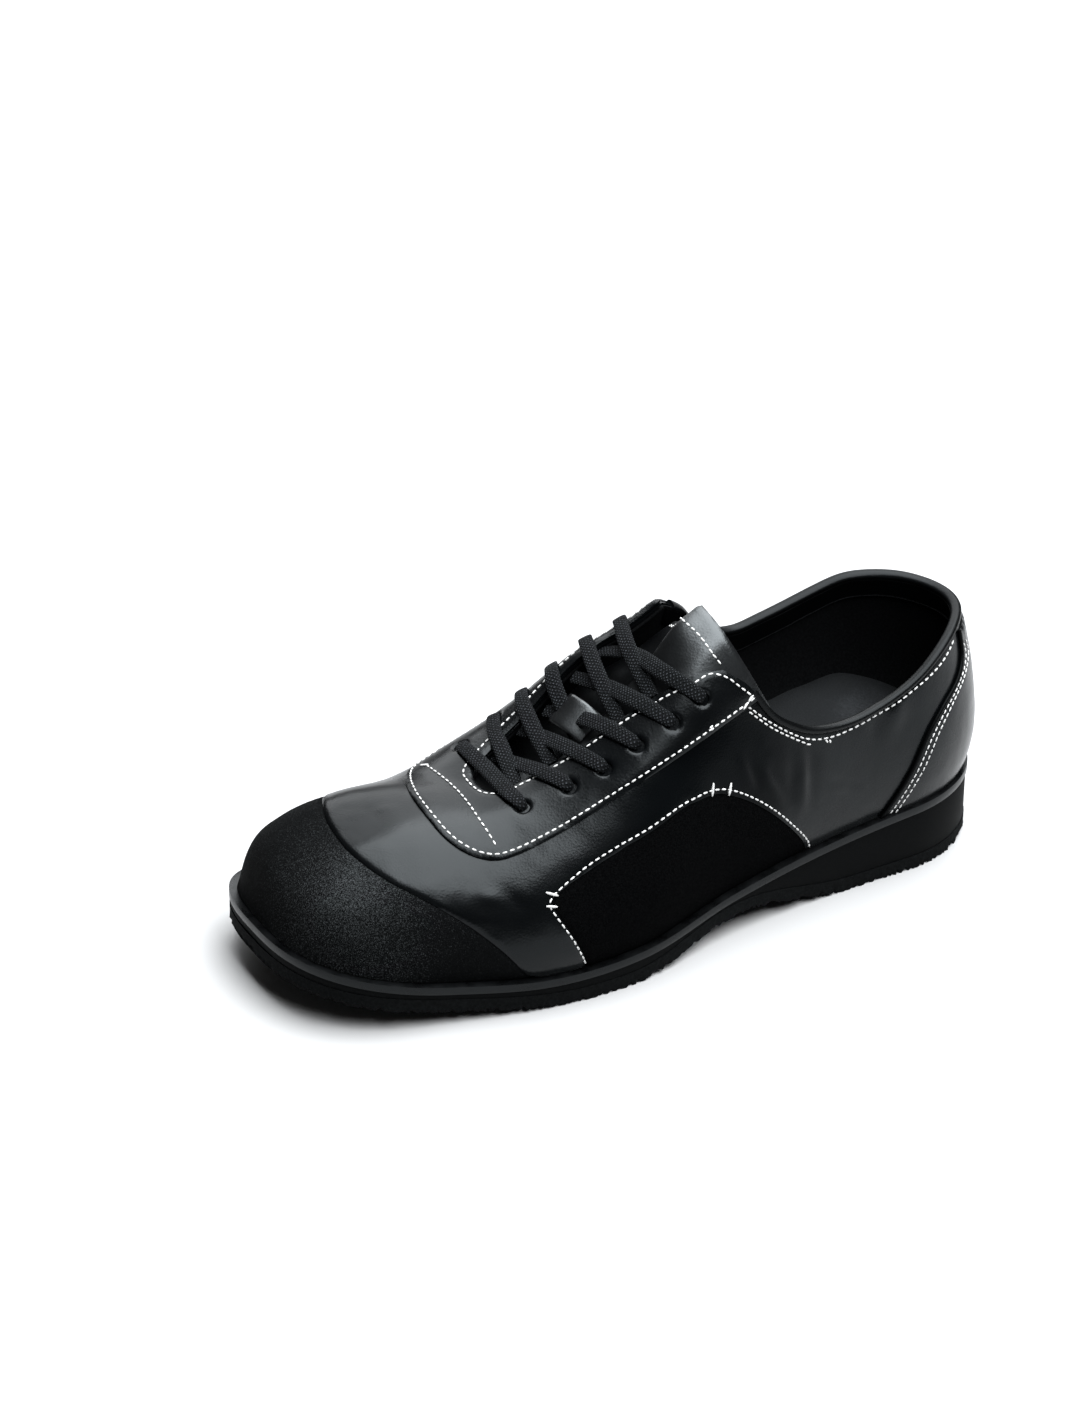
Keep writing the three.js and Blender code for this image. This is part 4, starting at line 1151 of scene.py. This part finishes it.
def sew(name, seams, length=2.05, gap=.85, thick=.74, smooth=True, seed=3):
    """Stitches along seams, each a pair of a line in mm and the surface below it."""
    rng = random.Random(seed)
    bm = bmesh.new()
    count = 0
    for points, surface in seams:
        line = np.array([p[:] for p in points])
        line = even_line(flow(line, 10 * (len(line) - 1)), 400) if smooth else even_line(line, 60)
        total = float(np.linalg.norm(np.diff(line, axis=0), axis=1).sum())
        steps = max(1, round(total / (length + gap)))
        dense = even_line(line, steps * 8)
        for n in range(steps):
            back, mid, front = (Vector(dense[n * 8 + m]) for m in (1, 4, 7))
            _, away, _, _ = SKIN.find_nearest(mid)
            spot, out, _, _ = surface.ray_cast(mid + away * 7, -away)
            if spot is None:
                continue
            ahead = (front - back).normalized()
            up = (out - ahead * ahead.dot(out)).normalized()
            aside = ahead.cross(up)
            lean = rng.uniform(-.06, .06)
            ahead = (ahead + aside * lean).normalized()
            aside = ahead.cross(up)
            half = total / steps * length / (length + gap) / 2 * rng.uniform(.93, 1.04)
            turn = Matrix((aside * thick / 2, up * thick / 2, ahead * half)).transposed().to_4x4()
            turn.translation = spot + up * thick * .22
            before = len(bm.verts)
            bm.from_mesh(STITCH)
            bm.verts.ensure_lookup_table()
            bmesh.ops.transform(bm, matrix=turn, verts=bm.verts[before:])
            count += 1
    print(name, "stitches:", count)
    return finish_piece(bm, name, thread.material)


def side_line(points, side, lift=None):
    """A line of the side view laid on one side of the last."""
    return [on_side(x, z + (lift(x) if lift else 0), side)[0] for x, z in points]


# %% Seams of the facing
apron_seam = [on_last(*p)[0] for p in APRON_SEAM[2:-2]]
cross_seam = [on_last(-69.8 - .9 * t, 26.9 - 54.2 * t, 63.9 - 3.8 * t + 4 * t * (1 - t))[0]
              for t in np.linspace(0, 1, 9)]
rim = throat_outline()
run = even_line(np.concatenate([rim[60:], rim[:60]]), 160)
ahead = np.gradient(run, axis=0)
beside = np.stack([ahead[:, 1], -ahead[:, 0]], 1) / np.linalg.norm(ahead, axis=1)[:, None]
away = 2.1 + 1.7 * ease((run[:, 1:] - 4) / 6)
slot = [p for p in run + beside * away if p[0] < (22 if p[1] > 0 else 13)]
throat_seam = [SKIN.ray_cast(Vector((x, y, 300)), Vector((0, 0, -1)))[0] for x, y in slot[::3]]
CORNER_SEAM = [
    (17.5, -28.6, 109.8), (21, -29.3, 109.4), (25, -30.8, 107.4), (29, -32.6, 103.6),
    (33.4, -34.4, 99.4),
]
throat_seam += [on_last(*p)[0] for p in CORNER_SEAM]
sew("facing_stitches", [(apron_seam, FACING_SKIN), (cross_seam, FACING_SKIN),
                        (throat_seam, FACING_SKIN)])

# %% Seams of the quarters
PANEL_SEAM = [
    (-46, 15.4), (-52, 28), (-58.8, 41.2), (-58.3, 44.5), (-55, 47), (-42.9, 53.4), (-30.1, 58.5),
    (-16.3, 62.9), (-3.6, 67.1), (6.1, 68.7), (12.6, 68.6), (20.8, 66.2), (31.2, 59.4),
    (41.6, 50.2), (50.8, 40), (58.6, 30.1), (61.1, 24.5),
]
COUNTER_SEAM = [(135.5, 86), (136.5, 80.5), (131.6, 75.2), (122, 68.7), (113.6, 59.4), (106.8, 45.9),
                (97.4, 28.6)]
COLLAR_SEAM = [(31.5, 95.5), (42, 85.6), (55.4, 76), (66.3, 72.7), (79.3, 73.2), (94.1, 76.3),
               (109.8, 81.7), (122.1, 86.1), (130.5, 90)]


def inner_lift(x):
    return float(INSTEP * curve_value(TOPLINE, 2, share_of(x))) * .9


seams = []
for side in (-1, 1):
    lift = inner_lift if side > 0 else None
    seams.append((side_line(PANEL_SEAM, side), UPPER_SKIN))
    seams.append((side_line(COLLAR_SEAM, side, lift), UPPER_SKIN))
    second = [(x + .3, z - 2.1) for x, z in COLLAR_SEAM[:3] + [(58.5, 74.6)]]
    seams.append((side_line(second, side, lift), UPPER_SKIN))
sew("quarter_stitches", seams, seed=5)

seams = []
for side in (-1, 1):
    for step in (0, 2.4):
        seams.append((side_line([(x + step, z - step * .2) for x, z in COUNTER_SEAM], side), COUNTER_SKIN))
sew("counter_stitches", seams, length=1.9, gap=.55, thick=.58, seed=7)

# %% Tongue seam and tacks
tongue_line = [(19, -8, 122), (20, -16.4, 120.7), (22, -23.4, 116.5), (25, -28, 111.5)]
back_line = [(19, 8, 122), (20, 16.4, 120.7), (22, 23.4, 116.5), (25, 28, 111.5)]
sew("tongue_stitches", [(back_line[::-1] + tongue_line, TONGUE_SKIN)], seed=9)

# Tacks of the panel: the middle in the side view, and half the way from end to end.
TACKS = [(-57.4, 46.3, 2.3, -.9), (-58.5, 42.2, 2.3, -.3), (12.7, 68.9, .7, 2.6), (20.4, 66.6, .9, 2.6)]
tacks = []
for side in (-1, 1):
    for x, z, dx, dz in TACKS:
        line = side_line([(x - dx, z - dz), (x + dx, z + dz)], side)
        tacks.append((line, UPPER_SKIN))
sew("quarter_tacks", tacks, length=5, gap=.2, thick=1.1, smooth=False, seed=11)
corner_tack = [on_last(*p)[0] for p in [(29, -36.4, 95.5), (34.2, -34.2, 99.4)]]
toe_tack = [on_last(*p)[0] for p in [(-71.5, 29.5, 63.4), (-69, 26, 64.2)]]
tacks = [(corner_tack, FACING_SKIN), (toe_tack, FACING_SKIN)]
sew("facing_tacks", tacks, length=3, gap=.2, thick=.95, smooth=False, seed=13)

# Knots and cut ends of the thread: both ends in mm and the surface below.
THREAD_ENDS = [
    ((14.2, -37, 91.2), (15.8, -36.9, 91.9), FACING_SKIN),
    ((14, -36.5, 92), (15.6, -36.3, 92.7), FACING_SKIN),
    ((65.2, -38, 72.4), (66.2, -38, 70.8), UPPER_SKIN),
    ((67, -38, 71.8), (67.4, -38, 70.3), UPPER_SKIN),
    ((32.6, 26, 107), (33.6, 27, 105), FACING_SKIN),
]
ends = [([on_last(*start)[0], on_last(*end)[0]], surface) for start, end, surface in THREAD_ENDS]
sew("thread_ends", ends, length=1.6, gap=.1, thick=.8, smooth=False, seed=15)

# %% [markdown]
# A plain pale floor, a wide soft light overhead and a weaker one from behind. The camera has the
# photograph's angle: a long lens a little above the shoe, looking at its outer side and toe.

# %% Floor
floor_bm = bmesh.new()
bmesh.ops.create_grid(floor_bm, x_segments=1, y_segments=1, size=6)
floor_mesh = bpy.data.meshes.new("studio_floor")
floor_bm.to_mesh(floor_mesh)
floor_bm.free()
paper = Finish("pale_paper", .9, .1)
paper.paint(paper.speckle(3, 2), [(.3, (.42, .42, .42)), (.7, (.435, .435, .435))])
floor_mesh.materials.append(paper.material)
floor = bpy.data.objects.new("studio_floor", floor_mesh)
bpy.context.scene.collection.objects.link(floor)

# %% Light
world = bpy.data.worlds.new("studio")
world.use_nodes = True
world.node_tree.nodes["Background"].inputs["Color"].default_value = (1, 1, 1, 1)
world.node_tree.nodes["Background"].inputs["Strength"].default_value = .04
bpy.context.scene.world = world
bpy.context.scene.view_settings.view_transform = "Standard"


def soft_light(name, place, size, power, aim=(0, 0, .05)):
    lamp = bpy.data.lights.new(name, "AREA")
    lamp.shape, lamp.size, lamp.size_y, lamp.energy = "RECTANGLE", *size, power
    piece = bpy.data.objects.new(name, lamp)
    piece.location = place
    piece.rotation_euler = (Vector(aim) - Vector(place)).to_track_quat("-Z", "Y").to_euler()
    lamp.color = (.96, .98, 1)
    bpy.context.scene.collection.objects.link(piece)


soft_light("overhead", (.3, -.26, 1.15), (1.24, 1.88), 75, (.3, -.26, 0))
soft_light("behind", (.5, 1.15, .95), (1.4, 1.2), 17.5)

# %% Camera
AZIMUTH, ELEVATION, ROLL = (math.radians(a) for a in (-30.4, 32.05, 1.2))
# Distance in mm, pixels of the photograph per mm, its size in pixels, and the place in it where
# the drawing's origin falls.
DISTANCE, SCALE = 2310.0, 2.62
PHOTO_WIDE, PHOTO_HIGH = 1071, 1428
ORIGIN_RIGHT, ORIGIN_DOWN = 620, 896.3
level = math.cos(ELEVATION)
back = Vector((math.sin(AZIMUTH) * level, -math.cos(AZIMUTH) * level, math.sin(ELEVATION)))
right = Vector((math.cos(AZIMUTH), math.sin(AZIMUTH), 0))
up = back.cross(right)
right, up = (right * math.cos(ROLL) + up * math.sin(ROLL), up * math.cos(ROLL) - right * math.sin(ROLL))
eye = (back * DISTANCE - right * (ORIGIN_RIGHT - PHOTO_WIDE / 2) / SCALE
       + up * (ORIGIN_DOWN - PHOTO_HIGH / 2) / SCALE)
lens = bpy.data.cameras.new("photo_camera")
lens.sensor_width = 36
lens.lens = SCALE * DISTANCE * lens.sensor_width / PHOTO_HIGH
lens.clip_end = 50
camera = bpy.data.objects.new("photo_camera", lens)
turn = Matrix((right, up, back)).transposed().to_4x4()
turn.translation = (eye + SHIFT) * MM
camera.matrix_world = turn
bpy.context.scene.collection.objects.link(camera)
bpy.context.scene.camera = camera
print("focal length in mm:", round(lens.lens, 1))
